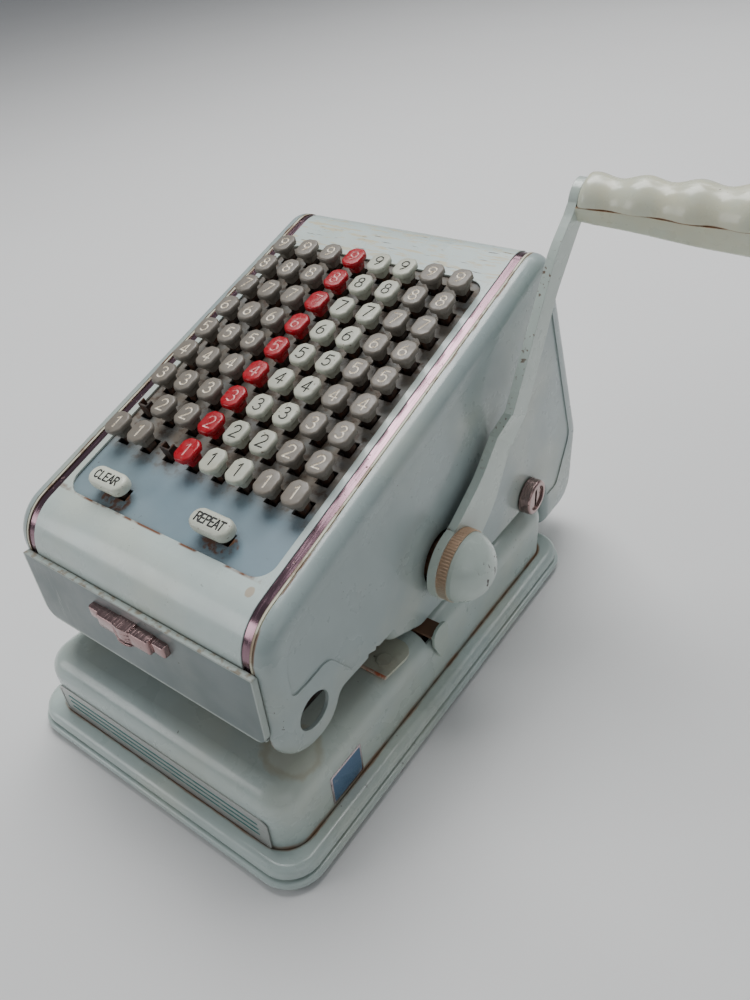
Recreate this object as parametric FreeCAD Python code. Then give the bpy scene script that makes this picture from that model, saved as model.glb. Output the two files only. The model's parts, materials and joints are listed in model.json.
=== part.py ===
"""Keyboard cheque writer with a pull crank: an assembly of separate pieces, one STEP file per sub-part.

Millimetres. X to the operator's right, Y to the back, Z up.
The origin is on the table under the middle of the base.
"""

import FreeCAD, Part
import math
import os

V = FreeCAD.Vector

# ---------------------------------------------------------------- driving dimensions
# base
PAN_W, PAN_D, PAN_R = 214.0, 308.0, 22.0        # rolled moulding round the foot of the base
PAN_Z0, BEAD_TOP, ROLL_Z0, ROLL_TOP = 2.4, 7.4, 8.4, 15.6
SHELL_W, SHELL_D, SHELL_R = 188.0, 283.0, 17.0  # walls of the upper base pressing
JOINT_Z = 12.4                                  # where the upper pressing meets the moulding
JOINT_ROUND = 2.6                               # inner rounding of the roll, down to the joint
PLATE_Z0, PLATE_T = 3.4, 1.4                    # closing plate under the base
SHELL_TOP, SHELL_EDGE_R = 56.0, 13.0
SHEET = 1.2

# keyboard
KEY_COLS, KEY_ROWS = 8, 9
COL_PITCH, ROW_PITCH = 17.5, 19.05
SLOPE = math.radians(18.0)
ROW1 = V(0, -61.6, 171.6)                       # deck surface under the first row
DECK_HALF, DECK_U0, DECK_U1, DECK_R = 69.5, -41.0, 164.0, 10.0
COVER_RISE = 1.4                                # outer skin of the cover above the deck surface
CAP_TOP, CAP_BASE = 12.7, 3.8
CAP_X, CAP_U = 11.8, 14.8
STEM_X, STEM_U = 6.8, 4.6
STEM_TOP, STEM_BOTTOM = 7.6, -30.0
SLOT_X, SLOT_U = 7.8, 9.8
BARE = {(1, 2), (3, 1)}                         # (column, row) of the two keys that have lost their caps

FUNCTION_KEYS = {"clear": (-39.4, -30.3), "repeat": (31.5, -29.0)}  # x and place up the slope

# head
HEAD_HALF, COVER_IN, CENTRE_HALF = 89.0, 80.2, 73.2
FRONT_Y, REAR_Y, TAIL_Z = -126.0, 195.0, 22.0
LOBE_Z, LOBE_R = 62.0, 23.0
REST_Z = 58.4                                   # underside of the covers over the base
THROAT_Z = 77.8                                 # roof of the throat in the covers
EDGE_R, COVER_T, COVER_WALL = 10.0, 2.2, 1.6     # rolled edge, face and rim of the side covers

# front door
DOOR_HALF, DOOR_Z0, DOOR_Z1, DOOR_R = 82.0, 85.2, 131.6, 8.0
DOOR_Y0, DOOR_Y1 = -129.6, -126.4
HINGE_Y, HINGE_Z, HINGE_PIN_R = -126.2, 87.0, 1.0
HEM_R, HEM_HALF, CURL_R = 2.3, 79.5, 1.7
LUG_X, LUG_HALF, LUG_ROOM = (-52.0, 52.0), 5.0, 0.4  # hinge lugs of the head, and the room round them
PULL_Z = 119.9

# crank
HUB = V(0, 12.0, 98.0)
SHAFT_R, BUSH_R, RUN = 7.0, 10.0, 0.05
SLEEVE_R = 13.5                                 # outer end of the right bush, seen behind the arm
ARM_X, ARM_T, ARM_STEP = 93.0, 5.0, 7.0
HUB_R, COLLAR_T = 22.0, 6.0
GRIP = V(0, 133.0, 260.5)
GRIP_LEN = 106.0
SPINDLE_R = 3.5

# printing group
WHEEL_AXIS, WHEEL_R = V(0, -72.0, 81.5), 15.0
INK_AXIS, INK_R = V(0, -103.0, 88.5), 9.0
PLATEN_Y = -72.0
FRAME_X, FRAME_T = 73.6, 2.6
CROSS_Z, CROSS_FRONT_Y, CROSS_REAR_Y = 84.8, -115.0, -54.0  # cross plates, clear of roller and type wheels
TIES = [V(0, -108, 128), V(0, 134, 100), V(0, 120, 182), V(0, 30, 74)]
TIE_R, TIE_SHOULDER_R = 3.5, 5.0
TYPE_SHAFT_R, INK_SPINDLE_R = 4.0, 3.0
KNOB, KNOB_STEM_R = V(0, 117.8, 72.2), 6.0
LEVER, LEVER_PIN_R = V(60.0, -2.0, 42.0), 2.0

os.makedirs("parts", exist_ok=True)


# ---------------------------------------------------------------- small helpers
def save(name, solids):
    """Write one sub-part; a list is kept as separate solids."""
    shape = solids if not isinstance(solids, list) else Part.makeCompound(solids)
    for solid in shape.Solids:
        if not solid.isValid():
            print("not valid:", name)
    shape.exportStep("parts/" + name + ".step")
    print(name, len(shape.Solids), round(shape.Volume, 1))


def box(x0, x1, y0, y1, z0, z1):
    return Part.makeBox(x1 - x0, y1 - y0, z1 - z0, V(x0, y0, z0))


def rod(start, length, radius, axis=V(1, 0, 0)):
    return Part.makeCylinder(radius, length, start, axis)


def along_x(point, x):
    return V(x, point.y, point.z)


def fuse(shapes):
    return shapes[0].multiFuse(shapes[1:]).removeSplitter()


def cut(shape, tools):
    return shape.cut(Part.makeCompound(tools))


def outline(corners):
    """Closed wire through corners (point, radius), each corner rounded to its radius."""
    count = len(corners)
    edges = []
    ends = []
    for i, (point, radius) in enumerate(corners):
        before = (corners[i - 1][0] - point).normalize()
        after = (corners[(i + 1) % count][0] - point).normalize()
        if radius == 0:
            ends.append((point, point))
            continue
        half = before.getAngle(after) / 2
        reach = radius / math.tan(half)
        middle = (before + after).normalize() * (radius / math.sin(half) - radius)
        first = point + before * reach
        last = point + after * reach
        ends.append((first, last))
        edges.append(Part.Arc(first, point + middle, last).toShape())
    for i in range(count):
        start = ends[i][1]
        stop = ends[(i + 1) % count][0]
        if (stop - start).Length > 1e-6:
            edges.append(Part.makeLine(start, stop))
    return Part.Wire(Part.__sortEdges__(edges))


def plate_z(corners, z0, z1):
    face = Part.Face(outline([(V(x, y, z0), r) for x, y, r in corners]))
    return face.extrude(V(0, 0, z1 - z0))


def plate_x(corners, x0, x1):
    face = Part.Face(outline([(V(x0, y, z), r) for y, z, r in corners]))
    return face.extrude(V(x1 - x0, 0, 0))


def rounded_rect(half_x, half_y, radius):
    return [(sx * half_x, sy * half_y, radius) for sx, sy in ((1, 1), (-1, 1), (-1, -1), (1, -1))]


def rounded_block(half_x, half_y, radius, z0, z1):
    return plate_z(rounded_rect(half_x, half_y, radius), z0, z1)


def on_deck(shape):
    """Move a shape from deck coordinates (x, up the slope, above the deck) to the row frame."""
    moved = shape.copy()
    moved.Placement = FreeCAD.Placement(ROW1, FreeCAD.Rotation(V(1, 0, 0), math.degrees(SLOPE)))
    return moved


def column_x(column):
    return (column - (KEY_COLS + 1) / 2) * COL_PITCH


def row_u(row):
    return (row - 1) * ROW_PITCH


def edges_at(shape, test):
    return [edge for edge in shape.Edges if test(edge.BoundBox)]


# ---------------------------------------------------------------- base
def moulding_profile(half_x, half_y, corner):
    """The rolled moulding: a small lower bead and a large upper roll, as stacked rounded blocks."""
    bead = rounded_block(half_x, half_y, corner, PAN_Z0, BEAD_TOP)
    bead = bead.makeFillet(2.2, edges_at(bead, lambda b: b.ZLength < 0.01))
    waist = rounded_block(half_x - 3.4, half_y - 3.4, corner - 3.4, PAN_Z0, ROLL_Z0 + 2)
    roll = rounded_block(half_x - 2.2, half_y - 2.2, corner - 2.2, ROLL_Z0, ROLL_TOP)
    roll = roll.makeFillet(5.0, edges_at(roll, lambda b: b.ZMin > ROLL_TOP - 0.01))
    roll = roll.makeFillet(1.6, edges_at(roll, lambda b: b.ZMax < ROLL_Z0 + 0.01))
    return fuse([bead, waist, roll])


def base_pan():
    solid = moulding_profile(PAN_W / 2, PAN_D / 2, PAN_R)
    hollow = rounded_block(PAN_W / 2 - 5.5, PAN_D / 2 - 5.5, PAN_R - 5.5, 0, JOINT_Z - 2.0)
    window = rounded_block(SHELL_W / 2 - 4, SHELL_D / 2 - 4, SHELL_R - 4, 0, ROLL_TOP + 2)
    seat = rounded_block(SHELL_W / 2, SHELL_D / 2, SHELL_R, JOINT_Z - 0.9, ROLL_TOP + 2)
    pan = cut(solid, [hollow, window, seat])

    def inner_rim(b):
        inside_x = b.XMin > -SHELL_W / 2 - 0.1 and b.XMax < SHELL_W / 2 + 0.1
        inside_y = b.YMin > -SHELL_D / 2 - 0.1 and b.YMax < SHELL_D / 2 + 0.1
        return b.ZMin > ROLL_TOP - 0.01 and inside_x and inside_y
    return pan.makeFillet(JOINT_ROUND, edges_at(pan, inner_rim))


def base_shell():
    z0 = JOINT_Z - 0.9
    outer = rounded_block(SHELL_W / 2, SHELL_D / 2, SHELL_R, z0, SHELL_TOP)
    outer = outer.makeFillet(SHELL_EDGE_R, edges_at(outer, lambda b: b.ZMin > SHELL_TOP - 0.01))
    inner = rounded_block(SHELL_W / 2 - SHEET, SHELL_D / 2 - SHEET, SHELL_R - SHEET, z0 - 1, SHELL_TOP - SHEET)
    inner = inner.makeFillet(SHELL_EDGE_R - SHEET, edges_at(inner, lambda b: b.ZMin > SHELL_TOP - SHEET - 0.01))
    platen_slot = box(-64, 64, PLATEN_Y - 4.6, PLATEN_Y + 4.6, SHELL_TOP - 5, SHELL_TOP + 5)
    lever_notch = box(78, SHELL_W / 2 + 5, LEVER.y - 9.4, LEVER.y + 4, SHELL_TOP - 6, SHELL_TOP + 5)
    return cut(outer, [inner, platen_slot, lever_notch])


def bottom_plate():
    return rounded_block(PAN_W / 2 - 6.5, PAN_D / 2 - 6.5, PAN_R - 6.5, PLATE_Z0, PLATE_Z0 + PLATE_T)


def rubber_feet():
    feet = []
    for x in (-78, 78):
        for y in (-118, 118):
            foot = Part.makeCone(8.5, 9.5, PLATE_Z0, V(x, y, 0))
            feet.append(foot)
    return feet


def front_nameplate():
    y = -SHELL_D / 2
    corners = [(-82, 15.2, 2), (82, 15.2, 2), (82, 38, 5), (-82, 38, 5)]
    face = Part.Face(outline([(V(x, y, z), r) for x, z, r in corners]))
    plate = face.extrude(V(0, -0.7, 0))
    middle_z = 26.6
    inner = [(V(x * 0.985, y - 0.45, middle_z + (z - middle_z) * 0.9), r) for x, z, r in corners]
    field = Part.Face(outline(inner))
    return cut(plate, [field.extrude(V(0, -1, 0))])


def cheque_table():
    """Raised side table of the throat with a folded front edge."""
    corners = [(66, -48, 0), (90, -49.5, 2), (92.5, -22, 9), (66, -22, 0)]
    top = plate_z(corners, SHELL_TOP + 0.1, SHELL_TOP + 1.9)
    lip = fuse([rod(V(66, -48.6, SHELL_TOP + 1.1), 24, 1.0, V(1, 0, 0)), top])
    boss = Part.makeCylinder(4.6, 0.8, V(82.5, -39, SHELL_TOP + 1.9))
    return fuse([lip, boss])


# ---------------------------------------------------------------- head outline
def top_z(y, rise=COVER_RISE):
    return ROW1.z + rise / math.cos(SLOPE) + (y - ROW1.y) * math.tan(SLOPE)


def rear_top():
    """Where the sloping back meets the line of the keyboard."""
    back_slope = 47.5 / 116.0
    knee_z = 84.0
    y = REAR_Y
    for _ in range(30):
        y = REAR_Y - (top_z(y) - knee_z) * back_slope
    return y, top_z(y), knee_z


def head_outline():
    """Side view of the head: lobe at the front, throat, tail behind the base, sloped back and keyboard line."""
    y_top, z_top, knee_z = rear_top()
    corners = [(FRONT_Y, LOBE_Z, LOBE_R), (-88.5, LOBE_Z, LOBE_R - 2), (-79.5, THROAT_Z, 2)]
    corners += [(-39.0, THROAT_Z, 0), (-36.0, 71.0, 3)]
    corners += [(-10.0, REST_Z, 12), (146.0, REST_Z, 5), (146.0, TAIL_Z, 5), (REAR_Y, TAIL_Z, 21)]
    corners += [(REAR_Y, knee_z, 16), (y_top, z_top, 20), (FRONT_Y, top_z(FRONT_Y), 26)]
    return corners


def throat_teeth():
    """Stepped saw teeth along the roof of the throat in the right cover."""
    corners = [(-60.5, THROAT_Z - 1, 0), (-58.5, 85.0, 0)]
    for tooth in range(3):
        y = -52.5 + 6.6 * tooth
        z = 82.4 - 2.2 * tooth
        corners += [(y, z, 0), (y + 0.8, z + 2.2, 0)]
    corners += [(-38.0, THROAT_Z - 1, 0)]
    return plate_x(corners, COVER_IN - 1, HEAD_HALF + 1)


def inset_wire(corners, distance, x):
    face = Part.Face(outline([(V(x, y, z), r) for y, z, r in corners]))
    return face.makeOffset2D(-distance, 0, False, False, False)


def panel_field(x0, x1):
    """Recessed field of a side cover, with its S-shaped lower front edge."""
    corners = [(-115.0, 109.5, 4), (-103.0, 109.5, 14), (-88.0, 111.0, 10), (-73.0, 88.0, 12)]
    corners += [(-66.0, 50.0, 0), (165.0, 50.0, 6), (181.0, 84.0, 16)]
    y_top, z_top, _ = rear_top()
    drop = 13.0
    corners += [(y_top - 6, z_top - drop - 3, 14), (-115.0, top_z(-115.0) - drop, 22)]
    return plate_x(corners, x0, x1)


def rim_edges(shape, face_x):
    """Edges of the outer face along the lobe, front, keyboard line and back."""
    def on_rim(b):
        upper_run = b.ZMin > 90 and b.YLength > 15
        front = b.YMax < FRONT_Y + 30
        return b.XMin > face_x - 0.01 and (upper_run or front)
    return edges_at(shape, on_rim)


def side_cover():
    """Right-hand pattern: a pressed pan with a rolled edge and a recessed field."""
    corners = head_outline()
    outer = plate_x(corners, COVER_IN, HEAD_HALF)
    outer = outer.makeFillet(EDGE_R - 1.5, rim_edges(outer, HEAD_HALF))
    inner_face = HEAD_HALF - COVER_T
    inner = inset_wire(corners, COVER_WALL, COVER_IN - 1).extrude(V(inner_face - COVER_IN + 1, 0, 0))
    inner = inner.makeFillet(EDGE_R - 4.0, rim_edges(inner, inner_face))
    return cut(outer, [inner, panel_field(HEAD_HALF - 0.8, HEAD_HALF + 1)])


def side_cover_right():
    hub_hole = rod(along_x(HUB, 70), 40, 17.0)
    ink_hole = rod(along_x(INK_AXIS, 70), 40, 10.6)
    knob_hole = rod(along_x(KNOB, 70), 40, KNOB_STEM_R + RUN)
    return cut(side_cover(), [hub_hole, ink_hole, knob_hole, throat_teeth()])


def side_cover_left():
    return side_cover().mirror(V(0, 0, 0), V(1, 0, 0))


def strip_wire_solid(x0, x1, outer_inset, inner_inset):
    """Band that follows the head outline between two insets."""
    corners = head_outline()
    face = Part.Face(outline([(V(x0, y, z), r) for y, z, r in corners]))
    big = face if outer_inset == 0 else face.makeOffset2D(-outer_inset, 0, False, False, False)
    small = face.makeOffset2D(-inner_inset, 0, False, False, False)
    return big.extrude(V(x1 - x0, 0, 0)).cut(small.extrude(V(x1 - x0, 0, 0)))


def trim_strip():
    """Polished strip between the middle cover and the right-hand side cover, with a raised outer bead."""
    strip = strip_wire_solid(CENTRE_HALF + 0.1, COVER_IN - 0.1, 0.5, 2.0)
    bead = strip_wire_solid(COVER_IN - 2.0, COVER_IN - 0.6, 0.0, 1.0)
    under = box(60, 100, -140, 145, 0, DOOR_Z1 - 0.8)
    return cut(fuse([strip, bead]), [under, box(60, 100, 144, 200, 0, 60)])


def top_cover():
    """One wrapped sheet: front roll, frame of the keyboard, back and tail."""
    skin = strip_wire_solid(-CENTRE_HALF, CENTRE_HALF, 0.0, SHEET)
    opening = plate_z([(DECK_HALF, DECK_U1, DECK_R), (-DECK_HALF, DECK_U1, DECK_R),
                       (-DECK_HALF, DECK_U0, DECK_R), (DECK_HALF, DECK_U0, DECK_R)], -4, 6)
    below_door = box(-100, 100, -140, -75, 0, DOOR_Z1 - 0.8)
    underside = box(-100, 100, -76, 144.5, 0, 110)
    return cut(skin, [on_deck(opening), below_door, underside])


# ---------------------------------------------------------------- keyboard
def key_slots(extra, low, high):
    slots = []
    for column in range(1, KEY_COLS + 1):
        for row in range(1, KEY_ROWS + 1):
            x = column_x(column)
            u = row_u(row)
            half_x = (STEM_X / 2 + extra) if extra else SLOT_X / 2
            half_u = (STEM_U / 2 + extra) if extra else SLOT_U / 2
            slots.append(box(x - half_x, x + half_x, u - half_u, u + half_u, low, high))
    return slots


def function_slots(extra, low, high):
    slots = []
    for x, u in FUNCTION_KEYS.values():
        half_x = 5.0 + extra if extra < 1 else 8.5
        half_u = 1.5 + extra
        slots.append(box(x - half_x, x + half_x, u - half_u, u + half_u, low, high))
    return slots


def keyboard_deck():
    plate = plate_z([(DECK_HALF + 2.6, DECK_U1 + 2, DECK_R), (-DECK_HALF - 2.6, DECK_U1 + 2, DECK_R),
                     (-DECK_HALF - 2.6, DECK_U0 - 2, DECK_R), (DECK_HALF + 2.6, DECK_U0 - 2, DECK_R)], -1.3, 0)
    return on_deck(cut(plate, key_slots(0, -5, 5) + function_slots(2.0, -5, 5)))


def key_guide_plate():
    plate = box(-72.8, 72.8, -38, 162, -25.2, -24.0)
    return on_deck(cut(plate, key_slots(0.3, -30, -20) + function_slots(0.3, -30, -20)))


def key_stem(x, u):
    """Folded sheet stem: a slim bar whose open top takes the cap."""
    half_x = STEM_X / 2
    half_u = STEM_U / 2
    bar = box(x - half_x, x + half_x, u - half_u, u + half_u, STEM_BOTTOM, STEM_TOP)
    fold = box(x - half_x + 0.9, x + half_x - 0.9, u - half_u + 0.9, u + half_u + 1, 1.5, STEM_TOP + 1)
    neck_left = box(x - STEM_X, x - half_x + 1.2, u - 5, u + 5, -22, 0.5)
    neck_right = box(x + half_x - 1.2, x + STEM_X, u - 5, u + 5, -22, 0.5)
    return cut(bar, [fold, neck_left, neck_right])


def octagon(x, u, size_x, size_u, corner, height):
    half_x = size_x / 2
    half_u = size_u / 2
    points = []
    for sx, su, first in ((1, 1, "x"), (-1, 1, "u"), (-1, -1, "x"), (1, -1, "u")):
        on_x = V(x + sx * half_x, u + su * (half_u - corner), height)
        on_u = V(x + sx * (half_x - corner), u + su * half_u, height)
        points += [on_x, on_u] if first == "x" else [on_u, on_x]
    return Part.makePolygon(points + [points[0]])


def key_cap(x, u):
    """Long octagonal cap with a tapered skirt and a socket for the stem."""
    top = Part.Face(octagon(x, u, CAP_X, CAP_U, 3.2, CAP_TOP - 3.2)).extrude(V(0, 0, 3.2))
    top = top.makeChamfer(0.7, edges_at(top, lambda b: b.ZMin > CAP_TOP - 0.01))
    wide = octagon(x, u, CAP_X - 1.2, CAP_U - 1.6, 2.8, CAP_TOP - 3.2)
    narrow = octagon(x, u, STEM_X + 2.0, STEM_U + 4.4, 1.2, CAP_BASE)
    skirt = Part.makeLoft([narrow, wide], True)
    socket = box(x - STEM_X / 2 - 0.05, x + STEM_X / 2 + 0.05, u - STEM_U / 2 - 0.05, u + STEM_U / 2 + 0.05,
                 CAP_BASE - 1, STEM_TOP + 0.1)
    return cut(fuse([skirt, top]), [socket])


def function_cap(x, u):
    half_x, half_u = 12.6, 5.8
    body = plate_z([(x + half_x, u + half_u, 5.5), (x - half_x, u + half_u, 5.5),
                    (x - half_x, u - half_u, 5.5), (x + half_x, u - half_u, 5.5)], 5.4, 11.4)
    body = body.makeFillet(1.4, edges_at(body, lambda b: b.ZMin > 11.39))
    socket = box(x - 5.05, x + 5.05, u - 1.55, u + 1.55, 5, 8.1)
    return cut(body, [socket])


def function_stem(x, u):
    return box(x - 5, x + 5, u - 1.5, u + 1.5, STEM_BOTTOM, 8.0)


# ---------------------------------------------------------------- front door
def front_door():
    """Shallow sheet tray with a hem curled round the hinge pin; inside it leaves room for the hinge lugs."""
    corners = [(DOOR_HALF, DOOR_Z1, 1.5), (-DOOR_HALF, DOOR_Z1, 1.5)]
    corners += [(-DOOR_HALF, DOOR_Z0, DOOR_R), (DOOR_HALF, DOOR_Z0, DOOR_R)]
    face = Part.Face(outline([(V(x, DOOR_Y0, z), r) for x, z, r in corners]))
    tray = face.extrude(V(0, DOOR_Y1 - DOOR_Y0, 0))
    hollow = box(-DOOR_HALF + SHEET, DOOR_HALF - SHEET, DOOR_Y0 + SHEET, 0, HINGE_Z + HEM_R + 1, DOOR_Z1 - SHEET)
    hem = rod(V(-HEM_HALF, HINGE_Y, HINGE_Z), 2 * HEM_HALF, HEM_R)
    reach = LUG_HALF + LUG_ROOM
    lug_gaps = [box(x - reach, x + reach, DOOR_Y0 + SHEET, 0, HINGE_Z - 3, HINGE_Z + 3.2) for x in LUG_X]
    pin_bore = rod(V(-90, HINGE_Y, HINGE_Z), 180, HINGE_PIN_R + RUN)
    return cut(fuse([cut(tray, [hollow]), hem]), lug_gaps + [pin_bore])


def door_hinge_pin():
    return rod(V(-HEM_HALF + 0.5, HINGE_Y, HINGE_Z), 2 * HEM_HALF - 1, HINGE_PIN_R)


def door_pull():
    """Stepped bright pull: a square bar with smaller ends, a crest over the middle and fins under it."""
    z = PULL_Z
    y = DOOR_Y0
    bar = box(-18.6, 18.6, y - 6.0, y, z - 4.4, z + 4.4)
    ends = box(-27.2, 27.2, y - 4.2, y, z - 3.5, z + 3.6)
    ends = ends.makeChamfer(0.8, edges_at(ends, lambda b: b.YMax < y - 4.1))
    fins = [box(-7.4, 7.4, y - 7.2, y, z - 7.4 + 3.0 * i, z - 5.6 + 3.0 * i) for i in range(4)]
    crest = plate_x([(y, z + 4.4, 0), (y - 5.2, z + 5.6, 0), (y - 7.2, z + 3.2, 0), (y - 6.0, z, 0), (y, z, 0)], -3.4, 3.4)
    back = box(-7, 7, y - 5.2, y, z - 7.4, z + 4)
    return fuse([bar, ends, back, crest] + fins)


# ---------------------------------------------------------------- head frame
def frame_plate(x0):
    corners = [(-120, 90, 12), (-120, 137, 14), (-101, 141.6, 6), (112, 208, 14), (160, 118, 14), (160, 84, 14)]
    corners += [(128, REST_Z + 0.2, 6), (4, REST_Z + 0.2, 8), (-34, 84.5, 8), (-50, 84.5, 6), (-58, 74, 8)]
    corners += [(-114, 74, 12)]
    plate = plate_x(corners, x0, x0 + FRAME_T)
    window = plate_x([(40, 110, 8), (110, 110, 8), (110, 170, 8), (52, 150, 8)], x0 - 1, x0 + FRAME_T + 1)
    bores = [(HUB, BUSH_R), (WHEEL_AXIS, TYPE_SHAFT_R), (INK_AXIS, INK_SPINDLE_R)]
    bores += [(tie, TIE_R) for tie in TIES]
    return cut(plate, [window] + [rod(along_x(point, x0 - 1), FRAME_T + 2, radius) for point, radius in bores])


def frame_tie_rods():
    ties = []
    for tie in TIES:
        bar = rod(along_x(tie, -FRAME_X - FRAME_T - 1.5), 2 * (FRAME_X + FRAME_T + 1.5), TIE_R)
        shoulder = rod(along_x(tie, -FRAME_X), 2 * FRAME_X, TIE_SHOULDER_R)
        ties.append(fuse([bar, shoulder]))
    return ties


def rear_stand():
    """Folded channel that carries the head on the base, between the two frame plates."""
    outer = box(-FRAME_X, FRAME_X, 70, 126, SHELL_TOP, 84)
    inner = box(-FRAME_X - 1, FRAME_X + 1, 73, 123, SHELL_TOP + 3, 90)
    return cut(outer, [inner])


def head_cross_plates():
    """Two plates between the frames: one under the door with lugs round its hinge pin, one over the throat."""
    front = box(-FRAME_X, FRAME_X, -123.5, CROSS_FRONT_Y, CROSS_Z, CROSS_Z + SHEET)
    throat_roof = box(-FRAME_X, FRAME_X, CROSS_REAR_Y, -36, CROSS_Z, CROSS_Z + SHEET)
    lugs = []
    for x in LUG_X:
        arm = box(x - LUG_HALF, x + LUG_HALF, HINGE_Y, -121, CROSS_Z + 0.7, CROSS_Z + 0.7 + SHEET)
        curl = rod(V(x - LUG_HALF, HINGE_Y, HINGE_Z), 2 * LUG_HALF, CURL_R)
        lugs.append(fuse([arm, curl]))
    pin_bore = rod(V(-90, HINGE_Y, HINGE_Z), 180, HINGE_PIN_R)
    return [cut(fuse([front] + lugs), [pin_bore]), throat_roof]


def shaft_bushes():
    """Bronze bushes of the crank shaft; the right one reaches out through the side cover."""
    left = rod(along_x(HUB, -FRAME_X - FRAME_T - 1), FRAME_T + 4, BUSH_R)
    left_flange = rod(along_x(HUB, -FRAME_X), 3, 13.0)
    right = rod(along_x(HUB, FRAME_X - 3), 19.0, BUSH_R)
    right_flange = rod(along_x(HUB, FRAME_X + FRAME_T), 5.0, 15.5)
    sleeve = rod(along_x(HUB, FRAME_X + FRAME_T + 4), ARM_X - 1.5 - FRAME_X - FRAME_T - 4, SLEEVE_R)
    bore = rod(along_x(HUB, -100), 200, SHAFT_R + RUN)
    return [cut(fuse([left, left_flange]), [bore]), cut(fuse([right, right_flange, sleeve]), [bore])]


# ---------------------------------------------------------------- crank
def crank_shaft():
    return rod(along_x(HUB, -FRAME_X - FRAME_T - 3), FRAME_X + FRAME_T + 3 + ARM_X + ARM_T + 4, SHAFT_R)


def slab_wire(x, low, high):
    """Section of the arm between two edge points (y, z)."""
    points = [V(x, *low), V(x, *high), V(x + ARM_T, *high), V(x + ARM_T, *low)]
    return Part.makePolygon(points + [points[0]])


def crank_arm():
    """Flat bar: round hub end, curved lower part, a joggle outwards and a straight upper part."""
    lower = [(-6, 113, 18), (14, 121.5, 60), (40, 137, 60), (58, 155.5, 0)]
    lower += [(73, 140.5, 0), (56, 110, 40), (33, 92, 14), (12, 92, 10)]
    hub_disc = rod(along_x(HUB, ARM_X), ARM_T, HUB_R)
    low = fuse([plate_x(lower, ARM_X, ARM_X + ARM_T), hub_disc])
    step = ARM_STEP
    high = [(60, 169, 0), (102, 243.0, 40), (118, 257, 14), (126, 267, 6)]
    high += [(136, 267, 6), (138, 256, 12), (128, 248, 20), (106, 220, 30), (76, 160.5, 0)]
    top = plate_x(high, ARM_X + step, ARM_X + step + ARM_T)
    boss = rod(along_x(GRIP, ARM_X + step), ARM_T, 11.0)
    slant = slab_wire(ARM_X, (57, 154.5), (74, 139.5))
    slant_top = slab_wire(ARM_X + step, (61, 170.5), (77, 162))
    joggle = Part.makeLoft([slant, slant_top], True)
    arm = fuse([low, joggle, top, boss])
    return cut(arm, [rod(along_x(HUB, 80), 40, SHAFT_R), rod(along_x(GRIP, 80), 40, SPINDLE_R)])


def knurled_collar():
    """Milled ring clamping the arm on the shaft."""
    x0 = ARM_X + ARM_T
    ring = rod(along_x(HUB, x0), COLLAR_T, HUB_R - 0.8)
    groove_count = 72
    grooves = []
    for i in range(groove_count):
        angle = 2 * math.pi * i / groove_count
        place = along_x(HUB, x0 - 1) + V(0, math.cos(angle), math.sin(angle)) * (HUB_R - 0.4)
        grooves.append(rod(place, COLLAR_T + 2, 0.75))
    return cut(ring, grooves + [rod(along_x(HUB, 80), 60, SHAFT_R)])


def hub_cap():
    """Domed cap screwed on the collar: a short rim under a spherical crown."""
    x0 = ARM_X + ARM_T + COLLAR_T
    rim_r, rim_t, crown = HUB_R - 1.6, 2.5, 14.5
    ball_r = (rim_r ** 2 + crown ** 2) / (2 * crown)
    ball = Part.makeSphere(ball_r, along_x(HUB, x0 + rim_t + crown - ball_r))
    dome = ball.common(rod(along_x(HUB, x0 + rim_t), crown + 1, rim_r))
    rim = rod(along_x(HUB, x0), rim_t, rim_r)
    return cut(fuse([rim, dome]), [rod(along_x(HUB, x0 - 1), 1 + 1.5, SHAFT_R + 0.3)])


def drive_cams():
    """Two eccentrics on the shaft that drive the selector bars and the platen."""
    cams = []
    for x in (-40, 34):
        disc = rod(V(x, HUB.y + 4, HUB.z - 3), 6, 15)
        cams.append(cut(disc, [rod(along_x(HUB, x - 1), 8, SHAFT_R)]))
    return cams


def crank_return_spring():
    """Flat clock spring in its coiled outline, round the shaft inside the right frame."""
    outer = rod(along_x(HUB, 58), 7, 18)
    return cut(outer, [rod(along_x(HUB, 57), 9, SHAFT_R + 1.5)])


def grip_section(x, radius):
    """Upper half of the grip: a half round on the parting plane."""
    y, z = GRIP.y, GRIP.z
    arc = Part.Arc(V(x, y - radius, z), V(x, y, z + radius * 1.02), V(x, y + radius, z)).toShape()
    return Part.Wire([arc, Part.makeLine(V(x, y + radius, z), V(x, y - radius, z))])


def grip_radius(t):
    """Finger waves that grow outwards along the grip; t runs from 0 to 1."""
    wave = 1.2 * math.cos(2 * math.pi * (4.06 * t - 0.153))
    end = 1.0 if t < 0.96 else 0.93
    start = 0.94 if t < 0.02 else 1.0
    return (12.8 + 3.9 * t + wave) * end * start


def grip_x0():
    return ARM_X + ARM_STEP + ARM_T


def grip_upper():
    sections = []
    steps = 32
    for i in range(steps + 1):
        t = i / steps
        sections.append(grip_section(grip_x0() + GRIP_LEN * t, grip_radius(t)))
    shell = Part.makeLoft(sections, True)
    return cut(shell, [rod(along_x(GRIP, 90), GRIP_LEN + 30, SPINDLE_R + 0.5)])


def grip_lower():
    """Keel-shaped lower half, deeper at its outer end."""
    wires = []
    for t, depth in ((0.0, 9.5), (1.0, 15.5)):
        x = grip_x0() + (GRIP_LEN - 1.5) * t
        top = grip_radius(t) - 0.4
        y, z = GRIP.y, GRIP.z - 0.05
        edge = top * 0.58
        points = [V(x, y - top, z), V(x, y + top, z), V(x, y + edge, z - depth), V(x, y - edge, z - depth)]
        wires.append(Part.makePolygon(points + [points[0]]))
    keel = Part.makeLoft(wires, True)
    return cut(keel, [rod(along_x(GRIP, 90), GRIP_LEN + 30, SPINDLE_R + 0.5)])


def grip_spindle():
    return rod(along_x(GRIP, ARM_X + ARM_STEP - 2.0), GRIP_LEN + ARM_T - 6, SPINDLE_R)


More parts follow.
